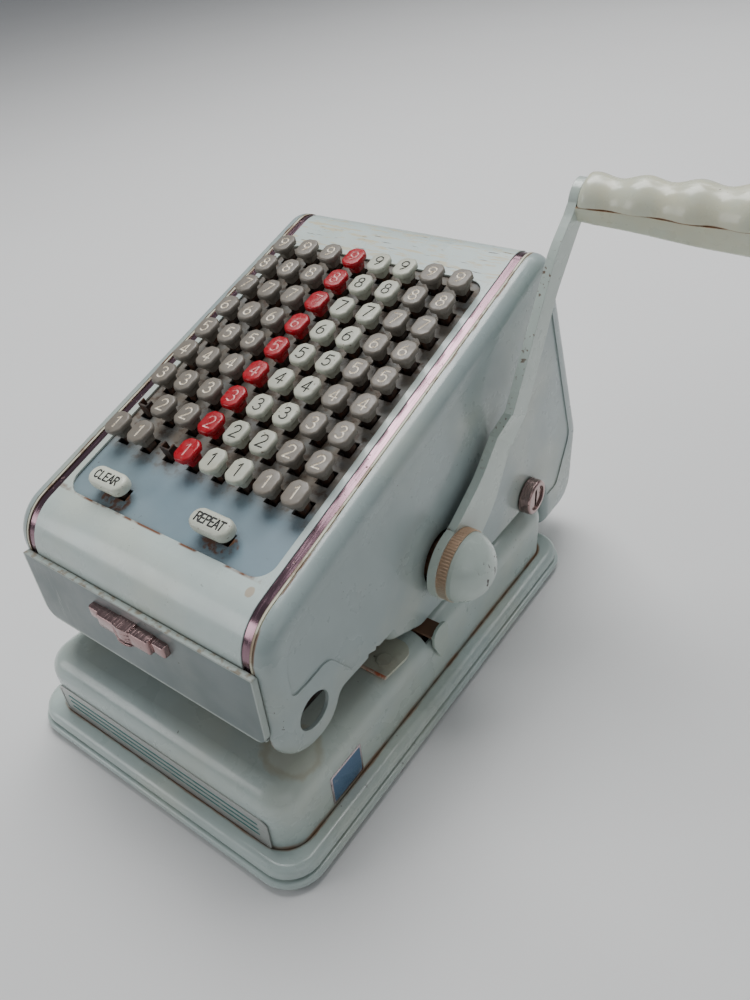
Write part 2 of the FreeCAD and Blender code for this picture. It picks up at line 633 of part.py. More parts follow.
# ---------------------------------------------------------------- printing group
def type_wheels():
    wheels = []
    for column in range(1, KEY_COLS + 1):
        x = column_x(column)
        disc = rod(along_x(WHEEL_AXIS, x - 3.5), 7, WHEEL_R - 1.6)
        faces = []
        for i in range(10):
            angle = 2 * math.pi * i / 10
            block = box(x - 2.6, x + 2.6, -3.2, 3.2, WHEEL_R - 3.5, WHEEL_R)
            block.rotate(V(0, 0, 0), V(1, 0, 0), math.degrees(angle))
            block.translate(V(0, WHEEL_AXIS.y, WHEEL_AXIS.z))
            faces.append(block)
        wheel = fuse([disc] + faces)
        wheels.append(cut(wheel, [rod(along_x(WHEEL_AXIS, x - 5), 10, TYPE_SHAFT_R + RUN)]))
    return wheels


def spindle_between_frames(axis, radius):
    return rod(along_x(axis, -FRAME_X - FRAME_T), 2 * (FRAME_X + FRAME_T), radius)


def ink_roller():
    roller = rod(along_x(INK_AXIS, -66), 132, INK_R)
    return cut(roller, [rod(along_x(INK_AXIS, -67), 134, INK_SPINDLE_R + RUN)])


def platen_bar():
    """Bar in the base that lifts the cheque against the type."""
    foot = box(-60, 60, PLATEN_Y - 7, PLATEN_Y + 7, 36, 44)
    blade = box(-62, 62, PLATEN_Y - 4, PLATEN_Y + 4, 44, SHELL_TOP + 2.5)
    return fuse([foot, blade])


def selector_racks():
    """One toothed selector bar under each column of stems."""
    bars = []
    for column in range(1, KEY_COLS + 1):
        x = column_x(column)
        bar = box(x - 1.2, x + 1.2, 0, 146, -40, -35)
        notches = [box(x - 2, x + 2, 8 + i * ROW_PITCH, 12 + i * ROW_PITCH, -37, -34) for i in range(8)]
        bars.append(on_deck(cut(bar, notches)))
    return bars


def lock_knob():
    """Round bright knob with a dished face and a coin slot, on a short stem."""
    stem = rod(along_x(KNOB, 80), HEAD_HALF - 80, KNOB_STEM_R)
    head = rod(along_x(KNOB, HEAD_HALF + 0.1), 7.5, 12.0)
    head = head.makeFillet(1.6, edges_at(head, lambda b: b.XMin > HEAD_HALF + 7.5))
    dish = rod(along_x(KNOB, HEAD_HALF + 6.4), 5, 8.6)
    slot = box(HEAD_HALF + 4.0, HEAD_HALF + 12, KNOB.y - 1.3, KNOB.y + 1.3, KNOB.z - 7, KNOB.z + 7)
    neck = rod(along_x(KNOB, HEAD_HALF - 1), 2, KNOB_STEM_R)
    return cut(fuse([stem, neck, head]), [dish, slot])


def release_lever():
    """Cheque release: a flat arm out of the base with a rounded finger tab turned down outside the wall."""
    pivot = rod(V(LEVER.x, LEVER.y - 6, LEVER.z), 12, 4.5, V(0, 1, 0))
    front, back = LEVER.y - 8.6, LEVER.y + 3.2
    arm_low = box(LEVER.x, LEVER.x + 22, LEVER.y - 5, back, LEVER.z - 1.2, LEVER.z + 1.2)
    rise = box(LEVER.x + 20, LEVER.x + 22.4, LEVER.y - 5, back, LEVER.z - 1.2, SHELL_TOP + 1.2)
    arm_high = box(LEVER.x + 20, SHELL_W / 2 + 3.2, front, back, SHELL_TOP - 0.4, SHELL_TOP + 1.2)
    x0 = SHELL_W / 2 + 1.6
    leaf = [(front, SHELL_TOP + 5.5, 6), (front, 50, 8), (LEVER.y - 1, 33, 2.5)]
    leaf += [(LEVER.y + 6, 40, 6), (LEVER.y + 6, SHELL_TOP + 5.5, 7)]
    tab = plate_x(leaf, x0, x0 + 1.6)
    lever = fuse([pivot, arm_low, rise, arm_high, tab])
    return cut(lever, [rod(V(LEVER.x, LEVER.y - 10, LEVER.z), 20, LEVER_PIN_R + RUN, V(0, 1, 0))])


def release_lever_pin():
    """Pin with two ears that hang from the top of the base."""
    pin = rod(V(LEVER.x, LEVER.y - 10, LEVER.z), 20, LEVER_PIN_R, V(0, 1, 0))
    ears = []
    for y in (LEVER.y - 9, LEVER.y + 7):
        ears.append(box(LEVER.x - 4, LEVER.x + 4, y, y + 2, LEVER.z - 4, SHELL_TOP - SHEET))
    return fuse([pin] + ears)


# ---------------------------------------------------------------- write every piece
def main():
    save("base_pan", base_pan())
    save("base_shell", base_shell())
    save("bottom_plate", bottom_plate())
    save("rubber_feet", rubber_feet())
    save("front_nameplate", front_nameplate())
    save("cheque_table", cheque_table())
    save("side_cover_right", side_cover_right())
    save("side_cover_left", side_cover_left())
    save("top_cover", top_cover())
    save("trim_strip_right", trim_strip())
    save("trim_strip_left", trim_strip().mirror(V(0, 0, 0), V(1, 0, 0)))
    save("keyboard_deck", keyboard_deck())
    save("key_guide_plate", key_guide_plate())
    save("front_door", front_door())
    save("door_hinge_pin", door_hinge_pin())
    save("door_pull", door_pull())
    save("frame_left", frame_plate(-FRAME_X - FRAME_T))
    save("frame_right", frame_plate(FRAME_X))
    save("frame_tie_rods", frame_tie_rods())
    save("rear_stand", rear_stand())
    save("head_cross_plates", head_cross_plates())
    save("shaft_bushes", shaft_bushes())
    save("crank_shaft", crank_shaft())
    save("crank_arm", crank_arm())
    save("knurled_collar", knurled_collar())
    save("hub_cap", hub_cap())
    save("drive_cams", drive_cams())
    save("crank_return_spring", crank_return_spring())
    save("grip_upper", grip_upper())
    save("grip_lower", grip_lower())
    save("grip_spindle", grip_spindle())
    save("type_wheels", type_wheels())
    save("type_wheel_shaft", spindle_between_frames(WHEEL_AXIS, TYPE_SHAFT_R))
    save("ink_roller", ink_roller())
    save("ink_roller_spindle", spindle_between_frames(INK_AXIS, INK_SPINDLE_R))
    save("platen_bar", platen_bar())
    save("selector_racks", selector_racks())
    save("lock_knob", lock_knob())
    save("release_lever", release_lever())
    save("release_lever_pin", release_lever_pin())
    for column in range(1, KEY_COLS + 1):
        x = column_x(column)
        rows = range(1, KEY_ROWS + 1)
        stems = [on_deck(key_stem(x, row_u(row))) for row in rows]
        caps = [on_deck(key_cap(x, row_u(row))) for row in rows if (column, row) not in BARE]
        save("key_stems_%d" % column, stems)
        save("key_caps_%d" % column, caps)
    for name, (x, u) in FUNCTION_KEYS.items():
        save(name + "_key_cap", on_deck(function_cap(x, u)))
        save(name + "_key_stem", on_deck(function_stem(x, u)))


main()
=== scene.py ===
import bmesh
import bpy
import json
import math
import random
from mathutils import Matrix, Vector


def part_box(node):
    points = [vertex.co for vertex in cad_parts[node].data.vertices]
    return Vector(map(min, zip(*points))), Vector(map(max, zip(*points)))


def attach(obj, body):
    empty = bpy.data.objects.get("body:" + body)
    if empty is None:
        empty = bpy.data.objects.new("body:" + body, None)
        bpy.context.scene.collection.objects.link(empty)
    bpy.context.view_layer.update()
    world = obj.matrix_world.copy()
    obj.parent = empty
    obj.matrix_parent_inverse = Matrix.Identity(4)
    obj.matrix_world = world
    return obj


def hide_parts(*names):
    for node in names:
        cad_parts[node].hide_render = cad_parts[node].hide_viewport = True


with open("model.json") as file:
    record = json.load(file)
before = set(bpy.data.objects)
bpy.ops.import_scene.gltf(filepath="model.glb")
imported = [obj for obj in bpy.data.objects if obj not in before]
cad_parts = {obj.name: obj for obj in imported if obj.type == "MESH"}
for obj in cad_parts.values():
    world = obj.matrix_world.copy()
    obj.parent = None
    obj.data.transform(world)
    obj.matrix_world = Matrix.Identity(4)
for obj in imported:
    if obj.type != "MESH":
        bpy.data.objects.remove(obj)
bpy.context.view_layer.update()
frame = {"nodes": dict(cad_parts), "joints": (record.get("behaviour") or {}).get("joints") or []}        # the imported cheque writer: metres, X to the operator's right, Y to the back, Z up
nodes = frame["nodes"]
MM = 0.001
chance = random.Random(11)

# ---------------------------------------------------------------- places read from the frame
joints = {joint["name"]: joint for joint in frame["joints"]}
press_axis = Vector(joints["key_column_1_press"]["axis"]).normalized()
slope = math.atan2(press_axis.y, -press_axis.z)
to_slope = Matrix.Rotation(slope, 4, "X")       # deck coordinates (x, up the slope, off the deck) to the frame

KEY_COLUMNS, KEY_ROWS = 8, 9
BARE_KEYS = {(1, 2), (3, 1)}                    # (column, row) of the stems that have lost their caps
FULL_COLUMN = "key_caps_2"


def slope_box(node):
    """Lowest and highest corner of a CAD node, measured along the slope of the keyboard."""
    back = to_slope.inverted()
    points = [back @ vertex.co for vertex in nodes[node].data.vertices]
    low = Vector([min(point[i] for point in points) for i in range(3)])
    high = Vector([max(point[i] for point in points) for i in range(3)])
    return low, high


def middle(node):
    low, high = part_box(node)
    return (low + high) / 2


deck_level = slope_box("keyboard_deck")[1].z
cap_low, cap_high = slope_box(FULL_COLUMN)
CAP_TOP = cap_high.z - deck_level
CAP_BASE = cap_low.z - deck_level
CAP_X = cap_high.x - cap_low.x
CAP_U = 14.8 * MM
ROW_PITCH = (cap_high.y - cap_low.y - CAP_U) / (KEY_ROWS - 1)
FIRST_ROW_U = cap_low.y + CAP_U / 2
joint_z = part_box("base_shell")[0].z + 0.9 * MM  # where the base pressing meets the moulding
hub = Vector(joints["crank_pull"]["pos_m"])


def on_deck(x, u, height):
    """Matrix that puts a piece at a place on the keyboard, standing off the deck."""
    return to_slope @ Matrix.Translation((x, u, deck_level + height))


def column_x(column):
    low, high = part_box("key_caps_%d" % column)
    return (low.x + high.x) / 2


# ---------------------------------------------------------------- material graphs
def scaled(color, factor):
    return tuple(channel * factor for channel in color)


class Graph:
    """Node graph of one material, with short calls for what every finish here needs."""

    def __init__(self, name):
        self.material = bpy.data.materials.new(name)
        self.material.use_nodes = True
        self.tree = self.material.node_tree
        self.tree.nodes.clear()
        self.output = self.node("ShaderNodeOutputMaterial")
        self.shader = self.node("ShaderNodeBsdfPrincipled")
        self.tree.links.new(self.shader.outputs[0], self.output.inputs[0])
        self.place = self.node("ShaderNodeTexCoord").outputs["Object"]
        axes = self.node("ShaderNodeSeparateXYZ")
        self.feed(axes.inputs[0], self.place)
        self.x, self.y, self.z = axes.outputs

    def node(self, kind, **settings):
        made = self.tree.nodes.new(kind)
        for key, value in settings.items():
            setattr(made, key, value)
        return made

    def feed(self, socket, value):
        if isinstance(value, bpy.types.NodeSocket):
            self.tree.links.new(value, socket)
        elif isinstance(value, tuple) and len(value) == 3 and socket.type == "RGBA":
            socket.default_value = (*value, 1.0)
        else:
            socket.default_value = value

    def math(self, operation, a, b=0.0, c=0.0):
        made = self.node("ShaderNodeMath", operation=operation)
        for socket, value in zip(made.inputs, (a, b, c)):
            self.feed(socket, value)
        return made.outputs[0]

    def plus(self, a, b):
        return self.math("ADD", a, b)

    def minus(self, a, b):
        return self.math("SUBTRACT", a, b)

    def times(self, a, b):
        return self.math("MULTIPLY", a, b)

    def most(self, *values):
        result = values[0]
        for value in values[1:]:
            result = self.math("MAXIMUM", result, value)
        return result

    def ramp(self, value, low, high, to_low=0.0, to_high=1.0):
        """Smooth step from to_low at low to to_high at high."""
        made = self.node("ShaderNodeMapRange", interpolation_type="SMOOTHSTEP")
        for name, number in (("Value", value), ("From Min", low), ("From Max", high), ("To Min", to_low),
                             ("To Max", to_high)):
            self.feed(made.inputs[name], number)
        return made.outputs["Result"]

    def patches(self, scale, detail, low, high, to_low=0.0, to_high=1.0):
        """Cloudy patches: noise drawn through a ramp."""
        return self.ramp(self.noise(scale, detail), low, high, to_low, to_high)

    def band(self, value, centre, half_width, soft):
        """1 within half_width of centre, fading to 0 over soft."""
        away = self.math("ABSOLUTE", self.minus(value, centre))
        return self.ramp(away, half_width, half_width + soft, 1.0, 0.0)

    def stretch(self, x, y, z, shift=0.0):
        made = self.node("ShaderNodeMapping")
        self.feed(made.inputs["Vector"], self.place)
        made.inputs["Scale"].default_value = (x, y, z)
        made.inputs["Location"].default_value = (shift, shift, shift)
        return made.outputs[0]

    def noise(self, scale, detail=3.0, rough=0.55, at=None):
        made = self.node("ShaderNodeTexNoise")
        self.feed(made.inputs["Vector"], at or self.place)
        made.inputs["Scale"].default_value = scale
        made.inputs["Detail"].default_value = detail
        made.inputs["Roughness"].default_value = rough
        return made.outputs["Fac"]

    def blob(self, centre, radii, ragged=0.5):
        """Soft ragged patch round a point."""
        away = self.node("ShaderNodeVectorMath", operation="SUBTRACT")
        self.feed(away.inputs[0], self.place)
        away.inputs[1].default_value = centre
        scaled = self.node("ShaderNodeVectorMath", operation="DIVIDE")
        self.feed(scaled.inputs[0], away.outputs[0])
        scaled.inputs[1].default_value = radii
        length = self.node("ShaderNodeVectorMath", operation="LENGTH")
        self.feed(length.inputs[0], scaled.outputs[0])
        edge = self.plus(length.outputs["Value"], self.times(self.noise(160, 4), ragged))
        return self.ramp(edge, 0.75 + ragged / 2, 1.0 + ragged / 2, 1.0, 0.0)

    def crevice(self, distance, samples=6):
        """1 in tight corners and seams, 0 in the open."""
        made = self.node("ShaderNodeAmbientOcclusion", samples=samples)
        made.inputs["Distance"].default_value = distance
        return self.minus(1.0, made.outputs["AO"])

    def edge(self, radius, low=0.02, high=0.25):
        """Normal rounded over the edges, and a mask of those edges."""
        bevel = self.node("ShaderNodeBevel", samples=6)
        bevel.inputs["Radius"].default_value = radius
        flat = self.node("ShaderNodeNewGeometry").outputs["Normal"]
        dot = self.node("ShaderNodeVectorMath", operation="DOT_PRODUCT")
        self.feed(dot.inputs[0], bevel.outputs[0])
        self.feed(dot.inputs[1], flat)
        mask = self.ramp(self.minus(1.0, dot.outputs["Value"]), low, high)
        return bevel.outputs[0], mask

    def mix(self, factor, a, b):
        made = self.node("ShaderNodeMix", data_type="RGBA")
        self.feed(made.inputs[0], factor)
        self.feed(made.inputs[6], a)
        self.feed(made.inputs[7], b)
        return made.outputs[2]

    def blend(self, factor, a, b):
        """Number between a and b."""
        made = self.node("ShaderNodeMix", data_type="FLOAT")
        self.feed(made.inputs[0], factor)
        self.feed(made.inputs[2], a)
        self.feed(made.inputs[3], b)
        return made.outputs[0]

    def bump(self, height, distance, strength=1.0, normal=None):
        made = self.node("ShaderNodeBump")
        made.inputs["Strength"].default_value = strength
        made.inputs["Distance"].default_value = distance
        self.feed(made.inputs["Height"], height)
        if normal is not None:
            self.feed(made.inputs["Normal"], normal)
        return made.outputs[0]

    def finish(self, color, rough, normal=None, metal=None, **constants):
        self.feed(self.shader.inputs["Base Color"], color)
        self.feed(self.shader.inputs["Roughness"], rough)
        if normal is not None:
            self.feed(self.shader.inputs["Normal"], normal)
        if metal is not None:
            self.feed(self.shader.inputs["Metallic"], metal)
        sockets = {socket.name.lower().replace(" ", "_"): socket for socket in self.shader.inputs}
        for key, value in constants.items():
            self.feed(sockets[key], value)
        return self.material


RUST = (0.17, 0.065, 0.025)
DARK_RUST = (0.045, 0.02, 0.012)
# colour of the soiling and painted shade laid in the seams and hollows
SEAM_GRIME_AND_SHADE = (0.16, 0.13, 0.09)
MINT = (0.50, 0.60, 0.56)
YELLOWED = (0.56, 0.58, 0.47)


class Enamel(Graph):
    """Aged stove enamel: uneven colour, orange peel, soiling and painted shade in the seams, rusty chips on the
    edges, specks.
    A part adds its own marks with mark() before finished()."""

    def __init__(self, name, color=MINT, aged=YELLOWED, gloss=0.26, edge_radius=0.7 * MM, chips=0.5, specks=0.5,
                 seam_grime_and_shade=0.7, seam=4 * MM):
        super().__init__(name)
        self.color = self.mix(self.patches(11, 4, 0.42, 0.68, 0.0, 0.45), color, aged)
        shade = self.ramp(self.noise(55, 5, 0.6), 0.3, 0.75, 0.0, 0.22)
        self.color = self.mix(shade, self.color, scaled(color, 0.72))
        self.rough = self.patches(38, 5, 0.3, 0.7, gloss - 0.05, gloss + 0.14)
        self.rounded, rim = self.edge(edge_radius)
        self.dent = 0.0
        if seam_grime_and_shade:
            # soiling and painted shade: an ambient-occlusion mask darkens the seams and hollows in the colour,
            # mottled by noise
            crevice_darkening = self.ramp(self.crevice(seam), 0.35, 0.85)
            self.mark(self.times(crevice_darkening, self.patches(140, 5, 0.3, 0.62, 0.15, seam_grime_and_shade)), SEAM_GRIME_AND_SHADE, 0.7)
        if chips:
            patchy = self.patches(62, 4, 0.66 - 0.2 * chips, 0.72)
            ragged = self.patches(620, 3, 0.5, 0.56)
            self.mark(self.times(rim, self.times(patchy, ragged)), RUST, 0.8, 0.6)
        if specks:
            far_apart = self.patches(24, 2, 0.60 - 0.12 * specks, 0.70)
            dot = self.patches(340, 2, 0.70, 0.735)
            self.mark(self.times(far_apart, dot), DARK_RUST, 0.8, 0.6)

    def mark(self, mask, color, rough, depth=0.0):
        """Lay a mark over what is there: its colour, its roughness, and how deep it bites."""
        self.color = self.mix(mask, self.color, color)
        self.rough = self.blend(mask, self.rough, rough)
        if depth:
            self.dent = self.minus(self.dent, self.times(mask, depth))

    def finished(self, peel=0.05, coat=0.35):
        height = self.plus(self.times(self.noise(520, 2), peel), self.dent)
        normal = self.bump(height, 0.12 * MM, 0.6, self.rounded)
        return self.finish(self.color, self.rough, normal, coat_weight=coat, coat_roughness=0.14)


def height_line(graph, z, half_width, soft, ragged=1.2 * MM):
    """Ragged horizontal line at a height."""
    wobble = graph.times(graph.minus(graph.noise(70, 4), 0.5), ragged * 2)
    return graph.band(graph.plus(graph.z, wobble), z, half_width, soft)


def beyond_wall(graph):
    """Distance outside the walls of the base pressing, seen from above."""
    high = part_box("base_shell")[1]
    corner = 17 * MM
    square = 0.0
    for across, half in ((graph.x, high.x), (graph.y, high.y)):
        side = graph.minus(graph.math("ABSOLUTE", across), half - corner)
        side = graph.most(side, 0.0)
        square = graph.plus(square, graph.times(side, side))
    return graph.minus(graph.math("SQRT", square), corner)


def base_enamel():
    """A thin rust line where the pressing meets the moulding; a water stain lies under the front lobe."""
    paint = Enamel("base_enamel", color=(0.46, 0.55, 0.525), chips=0.3, specks=0.5, seam_grime_and_shade=0.35, seam=3 * MM)
    wobble = paint.times(paint.minus(paint.noise(90, 4), 0.5), 2.6 * MM)
    away = paint.plus(beyond_wall(paint), wobble)
    low_down = paint.ramp(paint.z, joint_z + 3.4 * MM, joint_z + 5.2 * MM, 1.0, 0.0)
    line = paint.times(paint.ramp(away, 1.0 * MM, 2.4 * MM, 1.0, 0.0), low_down)
    paint.mark(paint.times(line, paint.patches(40, 4, 0.36, 0.58, 0.20, 0.85)), (0.36, 0.21, 0.12), 0.85, 0.2)
    foot = paint.times(height_line(paint, 1.2 * MM, 0.4 * MM, 1.2 * MM), paint.patches(60, 4, 0.48, 0.6))
    paint.mark(paint.times(foot, 0.6), RUST, 0.85, 0.4)
    cover_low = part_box("side_cover_right")[0]
    stain_at = (76 * MM, cover_low.y + 15 * MM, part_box("base_shell")[1].z - 1 * MM)
    stain = paint.blob(stain_at, (18 * MM, 17 * MM, 12 * MM), 0.45)
    core = paint.blob(stain_at, (15 * MM, 14 * MM, 12 * MM), 0.45)
    ring = paint.minus(stain, core)
    paint.mark(paint.times(stain, 0.4), (0.52, 0.50, 0.38), 0.5)
    paint.mark(paint.times(ring, 0.5), (0.33, 0.29, 0.19), 0.5)
    return paint.finished()


def cover_enamel():
    """Side covers: small chips along the rolled edge, soiling and painted shade against the trim."""
    paint = Enamel("cover_enamel", color=(0.345, 0.42, 0.415), chips=0.55, specks=0.6, seam_grime_and_shade=0.75,
                   edge_radius=0.5 * MM)
    side = paint.math("ABSOLUTE", paint.x)
    inner_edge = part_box("side_cover_right")[0].x
    rusty = paint.times(paint.ramp(side, inner_edge + 0.3 * MM, inner_edge + 1.0 * MM, 1.0, 0.0),
                        paint.patches(52, 4, 0.48, 0.6, 0.0, 0.9))
    paint.mark(rusty, RUST, 0.8, 0.3)
    return paint.finished()


def top_enamel():
    """Middle cover: brown scrapes across the rear ridge, rust where it meets the deck, a blot by the trim."""
    paint = Enamel("top_enamel", color=(0.55, 0.645, 0.62), aged=(0.62, 0.64, 0.52), chips=0.5, specks=0.45)
    ridge_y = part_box("keyboard_deck")[1].y
    on_ridge = paint.band(paint.y, ridge_y + 14 * MM, 12 * MM, 8 * MM)
    streaks = paint.noise(1.0, 4, 0.6, paint.stretch(70, 420, 420))
    paint.mark(paint.times(on_ridge, paint.ramp(streaks, 0.52, 0.62, 0.0, 0.75)), (0.58, 0.50, 0.30), 0.5)
    scores = paint.noise(1.0, 3, 0.6, paint.stretch(60, 900, 900, 3.7))
    paint.mark(paint.times(on_ridge, paint.ramp(scores, 0.66, 0.70)), DARK_RUST, 0.8, 0.6)
    front_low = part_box("keyboard_deck")[0]
    hem = paint.times(paint.band(paint.y, front_low.y + 1.8 * MM, 0.9 * MM, 1.0 * MM),
                      paint.patches(60, 4, 0.46, 0.6))
    paint.mark(hem, RUST, 0.8, 0.4)
    blot_at = (66 * MM, front_low.y - 4.5 * MM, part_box("keyboard_deck")[0].z + 1 * MM)
    blot = paint.blob(blot_at, (2.4 * MM, 2.8 * MM, 5 * MM), 0.9)
    paint.mark(paint.times(blot, 0.7), (0.42, 0.30, 0.18), 0.6)
    return paint.finished()


def deck_enamel():
    """Blue-grey deck: thick brown dust between the keys, painted shade under them, clean in front of them, rust at
    the function keys.
    """
    paint = Enamel("deck_enamel", color=(0.20, 0.285, 0.335), aged=(0.235, 0.295, 0.30), gloss=0.34,
                   chips=0.6, specks=0.9, seam_grime_and_shade=0.3)
    up_slope = paint.plus(paint.times(paint.y, math.cos(slope)),
                          paint.times(paint.z, math.sin(slope)))
    wavering = paint.plus(up_slope, paint.times(paint.minus(paint.noise(60, 4), 0.5), 26 * MM))
    keys_begin = FIRST_ROW_U - CAP_U / 2
    dusty = paint.ramp(wavering, keys_begin - 8 * MM, keys_begin + 12 * MM)
    paint.mark(paint.times(dusty, paint.patches(110, 5, 0.25, 0.7, 0.62, 0.95)), (0.20, 0.165, 0.125), 0.85)
    heavy = paint.times(dusty, paint.patches(240, 4, 0.5, 0.66))
    paint.mark(paint.times(heavy, 0.75), (0.095, 0.06, 0.038), 0.9)
    # painted shade: a wide ambient-occlusion mask darkens the deck under and between the keys in the colour,
    # mottled brown
    under = paint.ramp(paint.crevice(11 * MM), 0.25, 0.7, 0.0, 0.85)
    paint.mark(paint.times(under, paint.patches(180, 4, 0.36, 0.56)), (0.07, 0.045, 0.03), 0.9)
    for name in ("clear_key_stem", "repeat_key_stem"):
        at = middle(name)
        low, high = slope_box(name)
        spot = to_slope @ Vector((at.x, (low.y + high.y) / 2 - 1.0 * MM, deck_level))
        spread = paint.blob(spot + Vector((3 * MM, -3 * MM, 0)), (12 * MM, 7 * MM, 7 * MM), 1.0)
        eaten = paint.times(spread, paint.patches(190, 5, 0.44, 0.58, 0.0, 0.95))
        paint.mark(eaten, (0.16, 0.075, 0.045), 0.9, 0.4)
        beside = paint.blob(spot + Vector((7 * MM, 0, 0)), (3 * MM, 3 * MM, 5 * MM), 0.8)
        paint.mark(beside, (0.27, 0.13, 0.07), 0.9)
    return paint.finished(coat=0.1)


def door_enamel():
    """Darker matt door with fine vertical scratches and painted highlights along its hems."""
    paint = Enamel("door_enamel", color=(0.135, 0.175, 0.178), aged=(0.16, 0.19, 0.17), gloss=0.33,
                   chips=0.3, specks=0.4, edge_radius=0.9 * MM)
    low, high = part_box("front_door")
    # painted highlight: a lighter band along the top, bottom and side hems, as where the rounded edges catch the
    # light
    hem = paint.most(paint.ramp(paint.z, high.z - 1.4 * MM, high.z - 0.5 * MM),
                     paint.ramp(paint.z, low.z + 0.8 * MM, low.z + 2.6 * MM, 1.0, 0.0))
    side = paint.math("ABSOLUTE", paint.x)
    hem = paint.most(hem, paint.ramp(side, high.x - 1.6 * MM, high.x - 0.6 * MM))
    paint.mark(paint.times(hem, 0.85), (0.46, 0.52, 0.48), 0.4)
    scratches = paint.noise(1.0, 3, 0.6, paint.stretch(900, 900, 40, 1.3))
    at_left = paint.ramp(paint.x, low.x + 50 * MM, low.x + 10 * MM)
    paint.mark(paint.times(at_left, paint.ramp(scratches, 0.60, 0.70, 0.0, 0.4)), (0.50, 0.55, 0.52), 0.4)
    dust = paint.times(paint.ramp(paint.z, high.z - 0.9 * MM, high.z - 0.2 * MM),
                       paint.patches(220, 4, 0.45, 0.62, 0.0, 0.7))
    paint.mark(dust, (0.24, 0.17, 0.10), 0.9)
    return paint.finished(coat=0.15)


def arm_enamel():
    """Crank arm and cap: specks of bare metal along the narrow edges and a scuffed crown."""
    paint = Enamel("arm_enamel", color=(0.52, 0.60, 0.55), aged=(0.58, 0.61, 0.50), gloss=0.24,
                   chips=0.35, specks=0.25, edge_radius=0.5 * MM)
    facing = paint.node("ShaderNodeSeparateXYZ")
    paint.feed(facing.inputs[0], paint.node("ShaderNodeTexCoord").outputs["Normal"])
    narrow = paint.ramp(paint.math("ABSOLUTE", facing.outputs["X"]), 0.15, 0.4, 1.0, 0.0)
    above_hub = paint.ramp(paint.z, hub.z + 25 * MM, hub.z + 50 * MM)
    peppered = paint.times(paint.patches(420, 3, 0.60, 0.66), paint.patches(36, 3, 0.40, 0.6))
    paint.mark(paint.times(paint.times(narrow, above_hub), peppered), (0.16, 0.11, 0.075), 0.7, 0.5)
    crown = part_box("hub_cap")[1].x
    scuffed = paint.blob((crown - 3 * MM, hub.y + 1 * MM, hub.z + 1 * MM), (9 * MM, 13 * MM, 13 * MM), 0.4)
    nicks = paint.noise(1.0, 2, 0.5, paint.stretch(300, 420, 190, 5.1))
    paint.mark(paint.times(scuffed, paint.ramp(nicks, 0.635, 0.655)), (0.10, 0.08, 0.075), 0.7, 0.7)
    return paint.finished()


def table_enamel():
    """Cheque table: dusty top, worn orange paint on the folded front edge."""
    paint = Enamel("table_enamel", color=(0.53, 0.56, 0.46), aged=(0.50, 0.47, 0.36), gloss=0.4,
                   chips=0.7, specks=0.6)
    low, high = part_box("cheque_table")
    lip = paint.ramp(paint.y, low.y + 1.3 * MM, low.y + 2.0 * MM, 1.0, 0.0)
    worn = paint.patches(200, 3, 0.42, 0.6, 1.0, 0.35)
    paint.mark(paint.times(lip, worn), (0.50, 0.115, 0.045), 0.5)
    paint.mark(paint.patches(75, 4, 0.52, 0.7, 0.0, 0.5), (0.36, 0.32, 0.24), 0.7)
    return paint.finished(coat=0.1)


def lever_finish():
    """Rusty arm, painted finger tab."""
    paint = Enamel("lever_finish", color=(0.42, 0.50, 0.45), gloss=0.3, chips=0.8, specks=0.3)
    tab_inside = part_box("base_shell")[1].x + 1.4 * MM
    arm = paint.ramp(paint.x, tab_inside - 0.4 * MM, tab_inside, 1.0, 0.0)
    paint.mark(arm, (0.15, 0.075, 0.04), 0.75)
    return paint.finished(coat=0.15)


def steel(name, color, rough=0.35, rust=0.3, metal=1.0):
    """Machined or rolled steel with fine lines and brown oxide."""
    graph = Graph(name)
    lines = graph.noise(1.0, 3, 0.6, graph.stretch(1500, 220, 220))
    oxide = graph.patches(90, 5, 0.66 - 0.3 * rust, 0.78)
    normal, rim = graph.edge(0.4 * MM)
    shade = graph.mix(graph.ramp(lines, 0.3, 0.7, 0.0, 0.35), color, scaled(color, 0.6))
    shade = graph.mix(oxide, shade, RUST)
    gloss = graph.blend(oxide, graph.ramp(lines, 0.3, 0.7, rough - 0.06, rough + 0.12), 0.85)
    bright = graph.blend(oxide, metal, 0.1)
    return graph.finish(shade, gloss, graph.bump(lines, 0.03 * MM, 0.4, normal), bright)


def rusty_stems():
    """Key stems and guide plate: brown-black oxide with orange bloom and grey dust."""
    graph = Graph("rusty_stems")
    bloom = graph.ramp(graph.noise(230, 5, 0.65), 0.45, 0.7)
    dust = graph.patches(95, 4, 0.5, 0.75, 0.0, 0.5)
    color = graph.mix(bloom, (0.028, 0.017, 0.013), (0.115, 0.045, 0.022))
    color = graph.mix(dust, color, (0.20, 0.17, 0.14))
    normal, rim = graph.edge(0.3 * MM)
    rough = graph.ramp(bloom, 0.0, 1.0, 0.5, 0.85)
    surface = graph.bump(graph.noise(900, 3), 0.08 * MM, 0.6, normal)
    return graph.finish(color, rough, surface, specular_ior_level=0.4)


